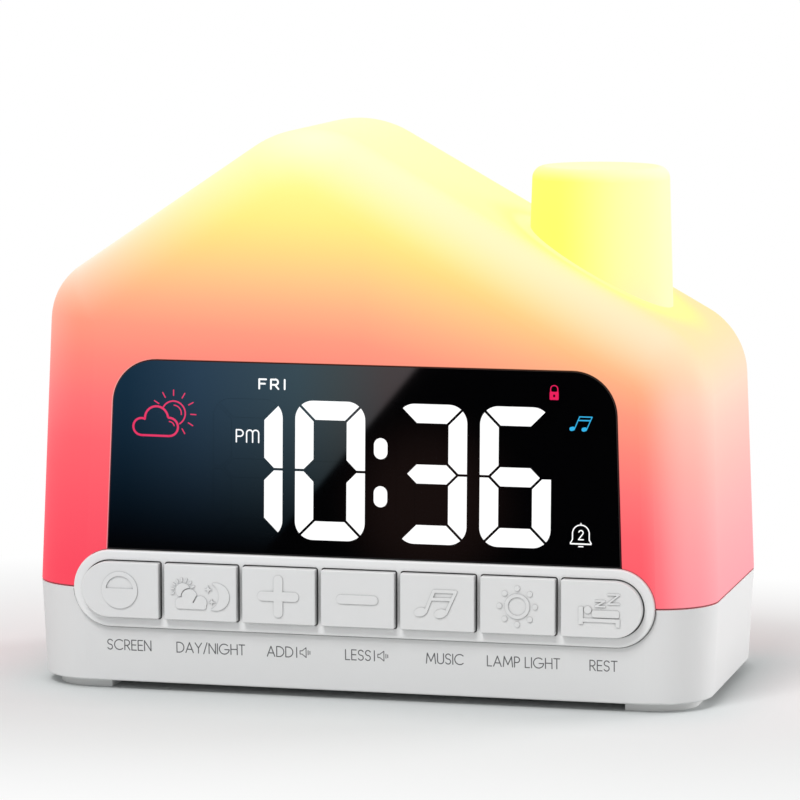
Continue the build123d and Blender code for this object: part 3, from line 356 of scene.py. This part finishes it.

# The roof: warm white on its slopes as a painted highlight, by how flat they lie and which way they face.
front_weight = rescale(tree, to_right, -0.5, 0.1, 0.65, 1.2)
left_slope = rescale(tree, to_right, 0.1, -0.5)
eave = rescale(tree, height, 128 * MM, 104 * MM, 0.14, 0.8)
plain_share = calc(tree, "MULTIPLY_ADD", left_slope, eave, 0.23)
away_from_front = calc(tree, "SUBTRACT", 1.0, to_front)
plain_share = calc(tree, "MULTIPLY", plain_share, away_from_front)
slope_share = calc(tree, "MULTIPLY_ADD", to_front, front_weight, plain_share)
flatness = calc(tree, "POWER", to_top, 2.0)
roof_highlight_share = calc(tree, "MULTIPLY", flatness, slope_share, use_clamp=True)
roof_glow_and_highlight = blend(tree, roof_highlight_share, glow, linear("#FFFBF4"))

# The walls: the painted highlight is most on the right-hand end, and a little on the left one, more towards
# its top.
end_wall = rescale(tree, to_right, -0.05, 0.72, to_high=0.5, smooth=True)
left_wall = rescale(tree, to_right, -0.2, -0.9, smooth=True)
left_wall_highlight = rescale(tree, height, 50 * MM, 100 * MM, to_high=0.24)
walls = calc(tree, "MULTIPLY_ADD", left_wall, left_wall_highlight, end_wall)
upright = calc(tree, "SUBTRACT", 1.0, to_top)
wall_highlight_share = calc(tree, "MULTIPLY", walls, upright)
wall_highlight = glow_ramp((
    (42, "#FFBEC8"), (75, "#FFD8D0"), (105, "#FFF5E8"), (118, "#FFF4DA"), (137, "#FFF8DC"),
))
glow_and_highlight = blend(tree, wall_highlight_share, roof_glow_and_highlight, wall_highlight)
print("nodes for glow, roof and walls:", len(tree.nodes))

# %% Lemon chimney and its halo on the roof
chimney_x = 50.0
halo_outside, halo_inside = 29.0, 18.5
chimney_outside, chimney_inside = 22.5, 19.5
axis = add(tree, "CombineXYZ", {"X": chimney_x * MM, "Y": 0.0, "Z": xyz.outputs["Z"]})
from_axis = vector_calc(tree, "DISTANCE", place.outputs["Object"], axis.outputs[0])
near_chimney = rescale(tree, from_axis, halo_outside * MM, halo_inside * MM, smooth=True)
halo_share = calc(tree, "MULTIPLY", near_chimney, to_top)
halo = blend(tree, halo_share, glow_and_highlight, linear("#FEF888"))
in_chimney = rescale(tree, from_axis, chimney_outside * MM, chimney_inside * MM, smooth=True)
chimney_level = rescale(tree, xyz.outputs["Z"], 86 * MM, 106 * MM, smooth=True)
lemon_share = calc(tree, "MULTIPLY", in_chimney, chimney_level)
# The chimney's right-hand side and its crown get a painted highlight: paler lemon where the studio light
# lands.
lit_side = rescale(tree, to_right, -0.5, 0.9, to_high=0.45, smooth=True)
crown = rescale(tree, xyz.outputs["Z"], 114 * MM, 126 * MM, to_high=0.38)
chimney_highlight_share = calc(tree, "MULTIPLY_ADD", to_top, crown, lit_side)
lemon = blend(tree, chimney_highlight_share, linear("#FCFC6E"), linear("#FFFFF0"))
whole = blend(tree, lemon_share, halo, lemon)
print("halo ends", halo_outside, "mm from the chimney's axis")

# %% The skin of the cover
# Real frosting is finer than 0.1 mm; it is drawn at 0.35 mm, or it would vanish between pixels.
frost = noise(tree, 0.35, 2.0)
frost_bump = add(tree, "Bump", {"Height": frost, "Distance": 0.02 * MM, "Strength": 0.4})
own_colour_share, glow_strength = 0.14, 0.88
skin(tree, {
    "Base Color": blend(tree, own_colour_share, linear("#000000"), whole), "Roughness": 0.6, "IOR": 1.49,
    "Normal": frost_bump.outputs[0], "Specular IOR Level": 0.25,
    "Emission Color": whole, "Emission Strength": glow_strength,
})
dress(cover, "house_cover")
print("cover material nodes:", len(tree.nodes))

# %% [markdown]
# ## The display
# The window is polished smoked acrylic, so dark that only the lit parts show. It is nearly black, very
# smooth, with the plain reflection of any clear plastic. The bars of the figures end flush in it: those that
# are lit shine white, and the others can't be told from the window.
# A black shiny surface is made of what it mirrors. In a studio, black and softly lit boards beside the lens
# decide that, so the window gets one of those, further down.

# %% Smoked acrylic and light guides
acrylic, tree = new_material("smoked_acrylic")
wave = noise(tree, 18.0, 1.0)
polish = rescale(tree, wave, 0.0, 1.0, 0.03, 0.06)
flow = add(tree, "Bump", {"Height": wave, "Distance": 0.01 * MM, "Strength": 0.15})
skin(tree, {"Base Color": linear("#030304"), "Roughness": polish, "IOR": 1.49, "Normal": flow.outputs[0]})
dress(acrylic, "display_window", "dark_bars")


def lit_guide(name, colour, strength=1.0):
    """A lit sign behind clear acrylic: it shines evenly, a touch dimmer where the diffuser is thicker."""
    material, tree = new_material(name)
    film = noise(tree, 2.5, 1.0)
    skin(tree, {
        "Base Color": linear("#101010"), "Roughness": 0.1, "IOR": 1.49, "Emission Color": linear(colour),
        "Emission Strength": rescale(tree, film, 0.0, 1.0, strength * 0.94, strength),
    })
    return material


white_guide = lit_guide("white_light_guide", "#FFFFFF", 1.1)
dress(white_guide, "lit_bars")
print("display materials:", acrylic.name, white_guide.name)

# %% [markdown]
# ## Signs on the display
# Beside the figures the real display lights small signs: the weather, a lock, notes, a bell, the weekday and
# the half of the day. They are drawn here with a round pen, as on a sign maker's sheet.
# A text object would give letters, but not these signs, so three strokes are built from bmesh operators: a
# line is an edge extruded along, an arc is an edge spun round, and a dot is a filled circle. The drawing is
# then given a little thickness and laid on the window's leaning face.

# %% A pen for flat signs
dot_sides = 16


def dot(bm, centre, radius):
    """A filled circle."""
    bmesh.ops.create_circle(
        bm, cap_ends=True, segments=dot_sides, radius=radius, matrix=Matrix.Translation((*centre, 0.0))
    )


def line(bm, start, end, pen):
    """A straight stroke: an edge across the pen, extruded to the other end, with round ends."""
    start, end = Vector((*start, 0.0)), Vector((*end, 0.0))
    side = (end - start).cross(Vector((0, 0, 1))).normalized() * pen / 2
    edge = bm.edges.new([bm.verts.new(start + side), bm.verts.new(start - side)])
    grown = bmesh.ops.extrude_edge_only(bm, edges=[edge])["geom"]
    far_verts = [item for item in grown if isinstance(item, bmesh.types.BMVert)]
    bmesh.ops.translate(bm, verts=far_verts, vec=end - start)
    dot(bm, start.xy, pen / 2)
    dot(bm, end.xy, pen / 2)


def arc(bm, centre, radius, first, last, pen):
    """A curved stroke from one angle to another in degrees, anticlockwise."""
    turning_point = Vector((*centre, 0.0))
    outs = [Vector((cos(radians(angle)), sin(radians(angle)), 0.0)) for angle in (first, last)]
    ends = [bm.verts.new(turning_point + outs[0] * (radius + side * pen / 2)) for side in (-1, 1)]
    edge = bm.edges.new(ends)
    bmesh.ops.spin(
        bm, geom=[*ends, edge], cent=turning_point, axis=(0, 0, 1),
        angle=radians(last - first), steps=max(4, round((last - first) / 9)),
    )
    for out in outs:
        dot(bm, (turning_point + out * radius).xy, pen / 2)


print("round ends have", dot_sides, "sides")


# %% From a drawing to a thin sign on a face
def leaning_face(y, z, lean):
    """The matrix of a front face that leans back from the vertical by an angle in degrees."""
    up = Vector((0, sin(radians(lean)), cos(radians(lean))))
    out = Vector((0, -cos(radians(lean)), sin(radians(lean))))
    turn = Matrix((Vector((1, 0, 0)), up, out)).transposed().to_4x4()
    return Matrix.Translation(Vector((0, y, z)) * MM) @ turn @ Matrix.Scale(MM, 4)


def lay_sign(name, bm, face, proud, material, body):
    """Thickens a flat drawing to twice its proud height and lays it half sunk on a face."""
    bmesh.ops.reverse_faces(bm, faces=[f for f in bm.faces if f.normal.z < 0])
    bmesh.ops.solidify(bm, geom=bm.faces[:], thickness=2 * proud)
    low = min(v.co.z for v in bm.verts)
    bmesh.ops.translate(bm, verts=bm.verts[:], vec=(0, 0, -low - proud))
    bmesh.ops.transform(bm, matrix=face, verts=bm.verts[:])
    mesh = bpy.data.meshes.new(name)
    bm.to_mesh(mesh)
    bm.free()
    mesh.materials.append(material)
    piece = bpy.data.objects.new(name, mesh)
    bpy.context.scene.collection.objects.link(piece)
    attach(piece, body)
    return piece


body_front, base_rim, cover_rim = -40.4, 25.0, 25.4
window_lean, sign_proud = 1.5, 0.04
window_face = leaning_face(body_front, cover_rim, window_lean)


def on_window(x, rise):
    """Millimetres across and above the cover's rim, as a place on the window's face."""
    return (x, rise / cos(radians(window_lean)))


print("window face leans", window_lean, "degrees")

# %% Weather sign: a cloud before a sun
sign = bmesh.new()
cloud_pen, sun_pen, ray_pen = 0.52, 0.36, 0.28
arc(sign, on_window(-54.6, 39.25), 2.05, 66, 270, cloud_pen)
arc(sign, on_window(-50.83, 41.35), 2.9, 8, 180, cloud_pen)
arc(sign, on_window(-47.65, 39.35), 2.2, -90, 92, cloud_pen)
line(sign, on_window(-54.6, 37.18), on_window(-47.65, 37.13), cloud_pen)
sun = on_window(-46.55, 42.7)
arc(sign, sun, 2.93, -58, 152, sun_pen)
arc(sign, sun, 1.95, -8, 86, ray_pen)
arc(sign, on_window(-47.65, 39.35), 1.3, 15, 88, ray_pen)
for angle in (-60, -31, -2, 29, 60, 90, 119, 149):
    out = Vector((cos(radians(angle)), sin(radians(angle))))
    line(sign, Vector(sun) + out * 4.3, Vector(sun) + out * 5.6, ray_pen)
rose_guide = lit_guide("rose_light_guide", "#EE2259", 0.95)
weather = lay_sign("weather_sign", sign, window_face, sign_proud, rose_guide, "clock")
print("weather sign:", len(weather.data.polygons), "faces")

# %% Lock
sign = bmesh.new()
lock_x, shackle_radius = 46.8, 0.86
shackle_pen, row_pen, side_pen = 0.24, 0.36, 0.84
arc(sign, on_window(lock_x, 51.15), shackle_radius, 0, 180, shackle_pen)
for side in (-shackle_radius, shackle_radius):
    line(sign, on_window(lock_x + side, 51.15), on_window(lock_x + side, 50.6), shackle_pen)

# The body is four rows and two thick sides, which leave the keyhole open.
for rise in (50.35, 50.05, 49.1, 48.8):
    line(sign, on_window(45.9, rise), on_window(47.7, rise), row_pen)
for side in (-0.66, 0.66):
    line(sign, on_window(lock_x + side, 49.0), on_window(lock_x + side, 50.2), side_pen)
carmine_guide = lit_guide("carmine_light_guide", "#F2205F", 0.95)
lock = lay_sign("lock_sign", sign, window_face, sign_proud, carmine_guide, "clock")
print("lock sign:", len(lock.data.polygons), "faces")

# %% Notes
sign = bmesh.new()
head_radius, stem_pen, top_beam_pen, low_beam_pen = 0.48, 0.22, 0.26, 0.3
for x, v in ((51.2, 41.93), (54.1, 41.85)):
    for shift in (-0.18, 0.0, 0.18):
        dot(sign, on_window(x + shift, v + shift * 0.25), head_radius)
line(sign, on_window(51.75, 41.9), on_window(52.95, 44.8), stem_pen)
line(sign, on_window(54.65, 41.8), on_window(55.95, 44.8), stem_pen)
line(sign, on_window(52.95, 44.8), on_window(55.95, 44.8), top_beam_pen)
line(sign, on_window(52.6, 43.95), on_window(55.55, 43.95), low_beam_pen)
sky_guide = lit_guide("sky_light_guide", "#38BAF0", 0.95)
notes = lay_sign("notes_sign", sign, window_face, sign_proud, sky_guide, "clock")
print("notes sign:", len(notes.data.polygons), "faces")

# %% Bell with the number of the alarm
sign = bmesh.new()
bell_x, bell_radius = 53.54, 2.01
bell_pen, brim_pen, knob_pen = 0.28, 0.34, 0.24
arc(sign, on_window(bell_x, 17.2), bell_radius, 0, 180, bell_pen)
for side in (-1, 1):
    wall_x = bell_x + side * bell_radius
    line(sign, on_window(wall_x, 17.2), on_window(wall_x, 15.75), bell_pen)
    line(sign, on_window(wall_x, 15.75), on_window(bell_x + side * 2.5, 14.9), bell_pen)
line(sign, on_window(51.1, 14.72), on_window(55.98, 14.72), brim_pen)
line(sign, on_window(bell_x, 19.2), on_window(bell_x, 19.6), knob_pen)
line(sign, on_window(53.05, 14.1), on_window(54.05, 14.1), bell_pen)
arc(sign, on_window(53.56, 17.4), 0.52, -38, 165, bell_pen)
line(sign, on_window(53.96, 17.07), on_window(52.98, 15.75), bell_pen)
line(sign, on_window(52.98, 15.75), on_window(54.15, 15.75), bell_pen)
bell = lay_sign("bell_sign", sign, window_face, sign_proud, white_guide, "clock")
print("bell sign:", len(bell.data.polygons), "faces")

# %% Weekday and half of the day
sign = bmesh.new()

# The weekday, FRI
low, high, pen = 49.27, 51.5, 0.42
line(sign, on_window(-25.2, low), on_window(-25.2, high), pen)
line(sign, on_window(-25.2, high), on_window(-23.5, high), pen)
line(sign, on_window(-25.2, 50.45), on_window(-23.8, 50.45), pen)
line(sign, on_window(-22.3, low), on_window(-22.3, high), pen)
line(sign, on_window(-22.3, high), on_window(-21.2, high), pen)
line(sign, on_window(-22.3, 50.25), on_window(-21.2, 50.25), pen)
arc(sign, on_window(-21.2, 50.9), 0.65, -90, 90, pen)
line(sign, on_window(-21.3, 50.25), on_window(-20.45, low), pen)
line(sign, on_window(-18.9, low), on_window(-18.9, high), pen)

# The half of the day, PM
low, high, pen = 36.28, 38.45, 0.32
line(sign, on_window(-30.85, low), on_window(-30.85, 39.2), pen)
line(sign, on_window(-30.85, 39.2), on_window(-29.95, 39.2), pen)
line(sign, on_window(-30.85, 37.65), on_window(-29.95, 37.65), pen)
arc(sign, on_window(-29.95, 38.42), 0.78, -90, 90, pen)
for x in (-28.3, -26.8, -25.3):
    line(sign, on_window(x, low), on_window(x, high), pen)
for x in (-27.55, -26.05):
    arc(sign, on_window(x, high), 0.75, 0, 180, pen)
words = lay_sign("day_words", sign, window_face, sign_proud, white_guide, "clock")
print("day words:", len(words.data.polygons), "faces")

# %% [markdown]
# ## Words printed under the keys
# Each key has a short word pad-printed below it in thin grey ink. A text object would be quicker, but the
# print has even, hair-thin strokes and round bowls, which is what the round pen draws. So each letter is
# given as a few straight runs and arcs in a box one unit high, and the pen writes them one after another.

# %% A plain alphabet for the pen
# Each letter: its width, its straight runs, and its arcs as centre, radius, first and last angle.
letters = {
    "A": (0.76, (((0, 0), (0.38, 1), (0.76, 0)), ((0.13, 0.33), (0.63, 0.33))), ()),
    "C": (0.86, (), ((0.5, 0.5, 0.5, 48, 312),)),
    "D": (0.72, (((0.22, 0), (0, 0), (0, 1), (0.22, 1)),), ((0.22, 0.5, 0.5, -90, 90),)),
    "E": (0.46, (((0.46, 0), (0, 0), (0, 1), (0.46, 1)), ((0, 0.52), (0.42, 0.52))), ()),
    "G": (0.98, (((0.55, 0.46), (0.98, 0.46)),), ((0.5, 0.5, 0.5, 48, 355),)),
    "H": (0.64, (((0, 0), (0, 1)), ((0.64, 0), (0.64, 1)), ((0, 0.52), (0.64, 0.52))), ()),
    "I": (0.0, (((0, 0), (0, 1)),), ()),
    "L": (0.42, (((0, 1), (0, 0), (0.42, 0)),), ()),
    "M": (0.92, (((0, 0), (0.1, 1), (0.46, 0.2), (0.82, 1), (0.92, 0)),), ()),
    "N": (0.66, (((0, 0), (0, 1), (0.66, 0), (0.66, 1)),), ()),
    "P": (0.5, (((0, 0), (0, 1), (0.22, 1)), ((0, 0.45), (0.22, 0.45))), ((0.22, 0.725, 0.275, -90, 90),)),
    "R": (
        0.52, (((0, 0), (0, 1), (0.22, 1)), ((0, 0.45), (0.22, 0.45), (0.52, 0))),
        ((0.22, 0.725, 0.275, -90, 90),),
    ),
    "S": (0.52, (), ((0.27, 0.75, 0.25, 25, 270), (0.25, 0.25, 0.25, -155, 90))),
    "T": (0.56, (((0, 1), (0.56, 1)), ((0.28, 1), (0.28, 0))), ()),
    "U": (0.6, (((0, 1), (0, 0.3)), ((0.6, 1), (0.6, 0.3))), ((0.3, 0.3, 0.3, 180, 360),)),
    "Y": (0.66, (((0, 1), (0.33, 0.5), (0.66, 1)), ((0.33, 0.5), (0.33, 0))), ()),
    "/": (0.36, (((0, -0.06), (0.36, 1.06)),), ()),
    " ": (0.16, (), ()),
}
letter_gap = 0.2


def word_width(word, cap_height):
    return cap_height * (sum(letters[letter][0] for letter in word) + letter_gap * (len(word) - 1))


def write(bm, word, left, cap_height, pen):
    """Writes a word from its left end, on the line v = 0."""
    for letter in word:
        width, runs, bowls = letters[letter]
        for run in runs:
            spots = [(left + x * cap_height, v * cap_height) for x, v in run]
            for spot, next_spot in zip(spots, spots[1:]):
                line(bm, spot, next_spot, pen)
        for x, v, radius, first, last in bowls:
            arc(bm, (left + x * cap_height, v * cap_height), radius * cap_height, first, last, pen)
        left += (width + letter_gap) * cap_height


print("letters:", len(letters))

# %% Pad-printed words
def matt_ink_or_shade(name, colour, patch, brightest, roughness):
    """A thin matt layer, of ink or of painted shade, its tone between 0.85 and brightest in patches of so
    many millimetres.
    """
    material, tree = new_material(name)
    tone = rescale(tree, noise(tree, patch, 2.0), 0.0, 1.0, 0.85, brightest)
    skin(tree, {"Base Color": tinted(tree, colour, tone), "Roughness": roughness, "IOR": 1.5})
    return material


label_base, cap_height, base_taper = 9.95, 2.45, 2.9
stroke, thin_stroke = 0.25, 0.2
label_depth = (base_rim - label_base) * tan(radians(base_taper))
label_face = leaning_face(body_front + label_depth, label_base, -base_taper)
labels = (
    ("SCREEN", -58.0, 0), ("DAY/NIGHT", -37.45, 0), ("ADD", -17.8, 1), ("LESS", 1.55, 1),
    ("MUSIC", 20.6, 0), ("LAMP LIGHT", 39.75, 0), ("REST", 59.1, 0),
)
speaker_shift, speaker_gap = 2.3, 0.95
sheet = bmesh.new()
for word, centre, has_speaker in labels:
    width = word_width(word, cap_height)
    left = centre - width / 2 - (speaker_shift if has_speaker else 0.0)
    write(sheet, word, left, cap_height, stroke)
    if has_speaker:
        x = left + width + speaker_gap
        line(sheet, (x, 0.0), (x, cap_height), stroke)
        line(sheet, (x + 0.85, 0.85), (x + 0.85, 1.65), thin_stroke)
        for way in (-1, 1):
            line(sheet, (x + 0.85, 1.25 + way * 0.4), (x + 1.35, 1.25 + way * 0.4), thin_stroke)
            line(sheet, (x + 1.35, 1.25 + way * 0.4), (x + 2.35, 1.25 + way * 1.2), thin_stroke)
        for shift, bottom, top in ((2.35, 0.05, 2.45), (2.85, 0.75, 1.75), (3.3, 0.9, 1.6)):
            line(sheet, (x + shift, bottom), (x + shift, top), thin_stroke)
    print(word, "is", round(width, 1), "mm wide")

ink = matt_ink_or_shade("grey_pad_print_ink", "#606062", patch=0.2, brightest=1.1, roughness=0.5)
printed = lay_sign("printed_words", sheet, label_face, 0.02, ink, "clock")
print("printed words:", len(printed.data.polygons), "faces")

# %% [markdown]
# ## The gap and its shadow under the panel
# The key panel sits in a pocket of the base with a fine gap all round. Below the panel, where its lower edge
# shades the base, that shows as a thin dark line. The line is drawn only there, so it is partly the real gap
# and partly painted shadow. The real gap is 0.15 mm, so it is drawn 0.4 mm wide here, or it would vanish
# between pixels.

# %% A dark line under the panel: the gap and painted shadow
panel_middle, panel_radius, panel_end, gap_pen = 25.2, 9.37, 62.13, 0.4
rim_face = leaning_face(body_front, base_rim, -base_taper)
drop = panel_middle - base_rim
reach_out = panel_radius + 0.12
gap_shadow_drawing = bmesh.new()
# Drawn only along the lower edge, where the panel shades the base: painted shadow over the real gap.
line(gap_shadow_drawing, (-panel_end, drop - reach_out), (panel_end, drop - reach_out), gap_pen)
arc(gap_shadow_drawing, (panel_end, drop), reach_out, -90, -4, gap_pen)
arc(gap_shadow_drawing, (-panel_end, drop), reach_out, 184, 270, gap_pen)
gap_painted_shadow = matt_ink_or_shade("panel_gap_painted_shadow", "#808080", patch=1.5, brightest=1.15, roughness=0.8)
gap_and_shadow_line = lay_sign("panel_gap_and_shadow_line", gap_shadow_drawing, rim_face, 0.03, gap_painted_shadow, "clock")
print("gap line:", len(gap_and_shadow_line.data.polygons), "faces")

# %% [markdown]
# ## What the window mirrors
# The photograph shows a slate-blue glare over the left part of the window, cut off by a straight slanting
# edge, and deep black beyond it. That is the picture of a board beside the camera: its left part lit, its
# right part black, with a faint warm patch low down. The board here does the same job. Only reflections can
# see it, so it never stands in the way of another view and casts no shadow.

# %% A board for the window to mirror
board_width, board_height = 250 * MM, 120 * MM
board_place = Vector((-35, -180, 62)) * MM
board_bm = bmesh.new()
bmesh.ops.create_grid(board_bm, x_segments=1, y_segments=1, size=0.5)
bmesh.ops.scale(board_bm, vec=(board_width, board_height, 1), verts=board_bm.verts[:])
bmesh.ops.rotate(board_bm, matrix=Matrix.Rotation(radians(90), 3, "X"), verts=board_bm.verts[:])
bmesh.ops.translate(board_bm, vec=board_place, verts=board_bm.verts[:])
board_mesh = bpy.data.meshes.new("mirror_board")
board_bm.to_mesh(board_mesh)
board_bm.free()
board = bpy.data.objects.new("mirror_board", board_mesh)
bpy.context.scene.collection.objects.link(board)
board.visible_camera = board.visible_diffuse = board.visible_shadow = board.visible_transmission = False

half_lit, tree = new_material("half_lit_board")
place = add(tree, "TexCoord").outputs["Object"]
xyz = add(tree, "SeparateXYZ", {0: place})
slant = calc(tree, "MULTIPLY_ADD", xyz.outputs["Z"], -0.82, xyz.outputs["X"])
lit_part = rescale(tree, slant, -78.6 * MM, -80.0 * MM)
fade = rescale(tree, xyz.outputs["Z"], 16 * MM, 74 * MM, smooth=True)
hue = add(tree, "ValToRGB", {"Fac": rescale(tree, xyz.outputs["X"], -105 * MM, -25 * MM)})
set_stops(hue, (
    (0.03, "#5294C8"), (0.28, "#87C2F6"), (0.64, "#B1E2FB"), (0.78, "#C2DBE4"), (0.95, "#D8C8CB"),
))
glare_strength, warm_strength = 2.4, 0.2
power = calc(tree, "MULTIPLY", calc(tree, "MULTIPLY", fade, lit_part), glare_strength)
board_light = add(tree, "Emission", {"Color": hue.outputs["Color"], "Strength": power})
warm_middle = Vector((-17, -180, 34.5)) * MM
away = vector_calc(tree, "DISTANCE", place, warm_middle)
warm = rescale(tree, away, 30 * MM, 8 * MM, to_high=warm_strength, smooth=True)
warm_light = add(tree, "Emission", {"Color": linear("#FFC0B0"), "Strength": warm})
both = add(tree, "AddShader", {0: board_light.outputs[0], 1: warm_light.outputs[0]})
add(tree, "OutputMaterial", {"Surface": both.outputs[0]})
board.data.materials.append(half_lit)
print("board", [round(v, 3) for v in board.dimensions])

# %% [markdown]
# ## Feet, screws, inlet and the works inside
# Little of this shows, but the clock may be opened, turned over or seen through its grille. The feet are
# soft pale rubber, the screws are zinc-plated steel, and the boards are glass-fibre laminate under green
# solder mask. Metals keep Blender's default index of refraction and get their look from the metallic
# setting and the roughness.

# %% Rubber feet, dark mouldings and reflectors
foot_rubber = moulded_plastic("pale_foot_rubber", "#EDEDEC", 0.75, 0.2, grain=0.5, depth=0.03, ior=1.52)
black_abs = moulded_plastic("black_moulded_abs", "#151516", 0.5, 0.2)
reflector_abs = moulded_plastic("white_reflector_abs", "#F2F2EE", 0.35, 0.2)
nylon = moulded_plastic("black_moulded_nylon", "#1B1B1D", 0.42, 0.15)
plunger_rubber = moulded_plastic("soft_plunger_silicone", "#C9C8C2", 0.6, 0.15, ior=1.41)
dress(foot_rubber, "foot_front_left", "foot_front_right", "foot_rear_left", "foot_rear_right")
dress(black_abs, "display_housing", "cell_holder")
dress(reflector_abs, "digit_reflector", "lamp_deck")
dress(nylon, "key_switches", "rear_switches", "connectors_and_chips", "power_inlet_tongue")
dress(plunger_rubber, *[key + "_plunger" for key in front_keys + rear_keys])
print("plungers:", len(front_keys + rear_keys))


# %% Steel
# Real scratches are a few hundredths of a millimetre wide. They are drawn at 0.4 to 0.6 mm, or they would
# vanish between pixels.
def plated_steel(name, colour, roughness, grain):
    """Plated steel with fine scratches, its grain size in millimetres."""
    material, tree = new_material(name)
    scratch = noise(tree, grain, 4.0)
    gloss = rescale(tree, scratch, 0.0, 1.0, roughness - 0.08, roughness + 0.1)
    rub = add(tree, "Bump", {"Height": scratch, "Distance": 0.01 * MM, "Strength": 0.3})
    skin(tree, {"Base Color": linear(colour), "Metallic": 1.0, "Roughness": gloss, "Normal": rub.outputs[0]})
    return material


zinc = plated_steel("zinc_plated_steel", "#B9BBBD", 0.35, 0.5)
nickel = plated_steel("nickel_plated_steel", "#CFCFCC", 0.25, 0.4)
bright_steel = plated_steel("bright_cell_steel", "#D6D7D8", 0.2, 0.6)
dark_steel = plated_steel("black_oxide_steel", "#4B4C4F", 0.4, 0.5)
dress(zinc, "case_screws", "deck_screws", "display_screws", "main_board_screws", "battery_door_screw")
dress(nickel, "power_inlet_shell")
dress(bright_steel, "coin_cell")
dress(dark_steel, "speaker_basket", "speaker_magnet")
print("steels:", [steel.name for steel in (zinc, nickel, bright_steel, dark_steel)])

# %% Circuit boards with tracks under the mask
# Real tracks are finer and branch. A plain pattern of fields, 3 mm by 1.5 mm, stands in for them.
solder_mask, tree = new_material("green_solder_mask")
place = add(tree, "TexCoord")
tracks = add(tree, "TexBrick", {
    "Vector": place.outputs["Object"], "Scale": 1 / (6 * MM), "Mortar Size": 0.06, "Mortar Smooth": 0.3,
    "Color1": linear("#0D5230"), "Color2": linear("#115A36"), "Mortar": linear("#0A3D24"),
})
raised = add(tree, "Bump", {"Height": tracks.outputs["Fac"], "Distance": 0.03 * MM, "Strength": 0.4})
skin(tree, {
    "Base Color": tracks.outputs["Color"], "Roughness": 0.28, "IOR": 1.55, "Normal": raised.outputs[0],
})
dress(solder_mask, "display_board", "key_board", "main_board", "lamp_board")
print("board material nodes:", len(tree.nodes))

# %% LEDs, cone, ribbons and leads
led_fill = lit_guide("led_phosphor_fill", "#FFF3C8", 1.0)
dress(led_fill, "display_leds", "lamp_leds")
paper = moulded_plastic("black_cone_paper", "#1C1C1C", 0.85, 0.1, grain=0.8, depth=0.08, ior=1.5)
dress(paper, "speaker_cone")
ribbon = moulded_plastic("grey_ribbon_pvc", "#CFCECA", 0.45, 0.1, ior=1.53)
dress(ribbon, "display_ribbon", "key_ribbon")
lead_pvc, tree = new_material("red_lead_pvc")
gloss = rescale(tree, noise(tree, 3.0, 2.0), 0.0, 1.0, 0.35, 0.5)
skin(tree, {"Base Color": linear("#A61C18"), "Roughness": gloss, "IOR": 1.53})
dress(lead_pvc, "lamp_lead", "speaker_lead")
dressed = [name for name in nodes if nodes[name].material_slots and nodes[name].material_slots[0].material]
print("dressed nodes:", len(dressed), "of", len(nodes))
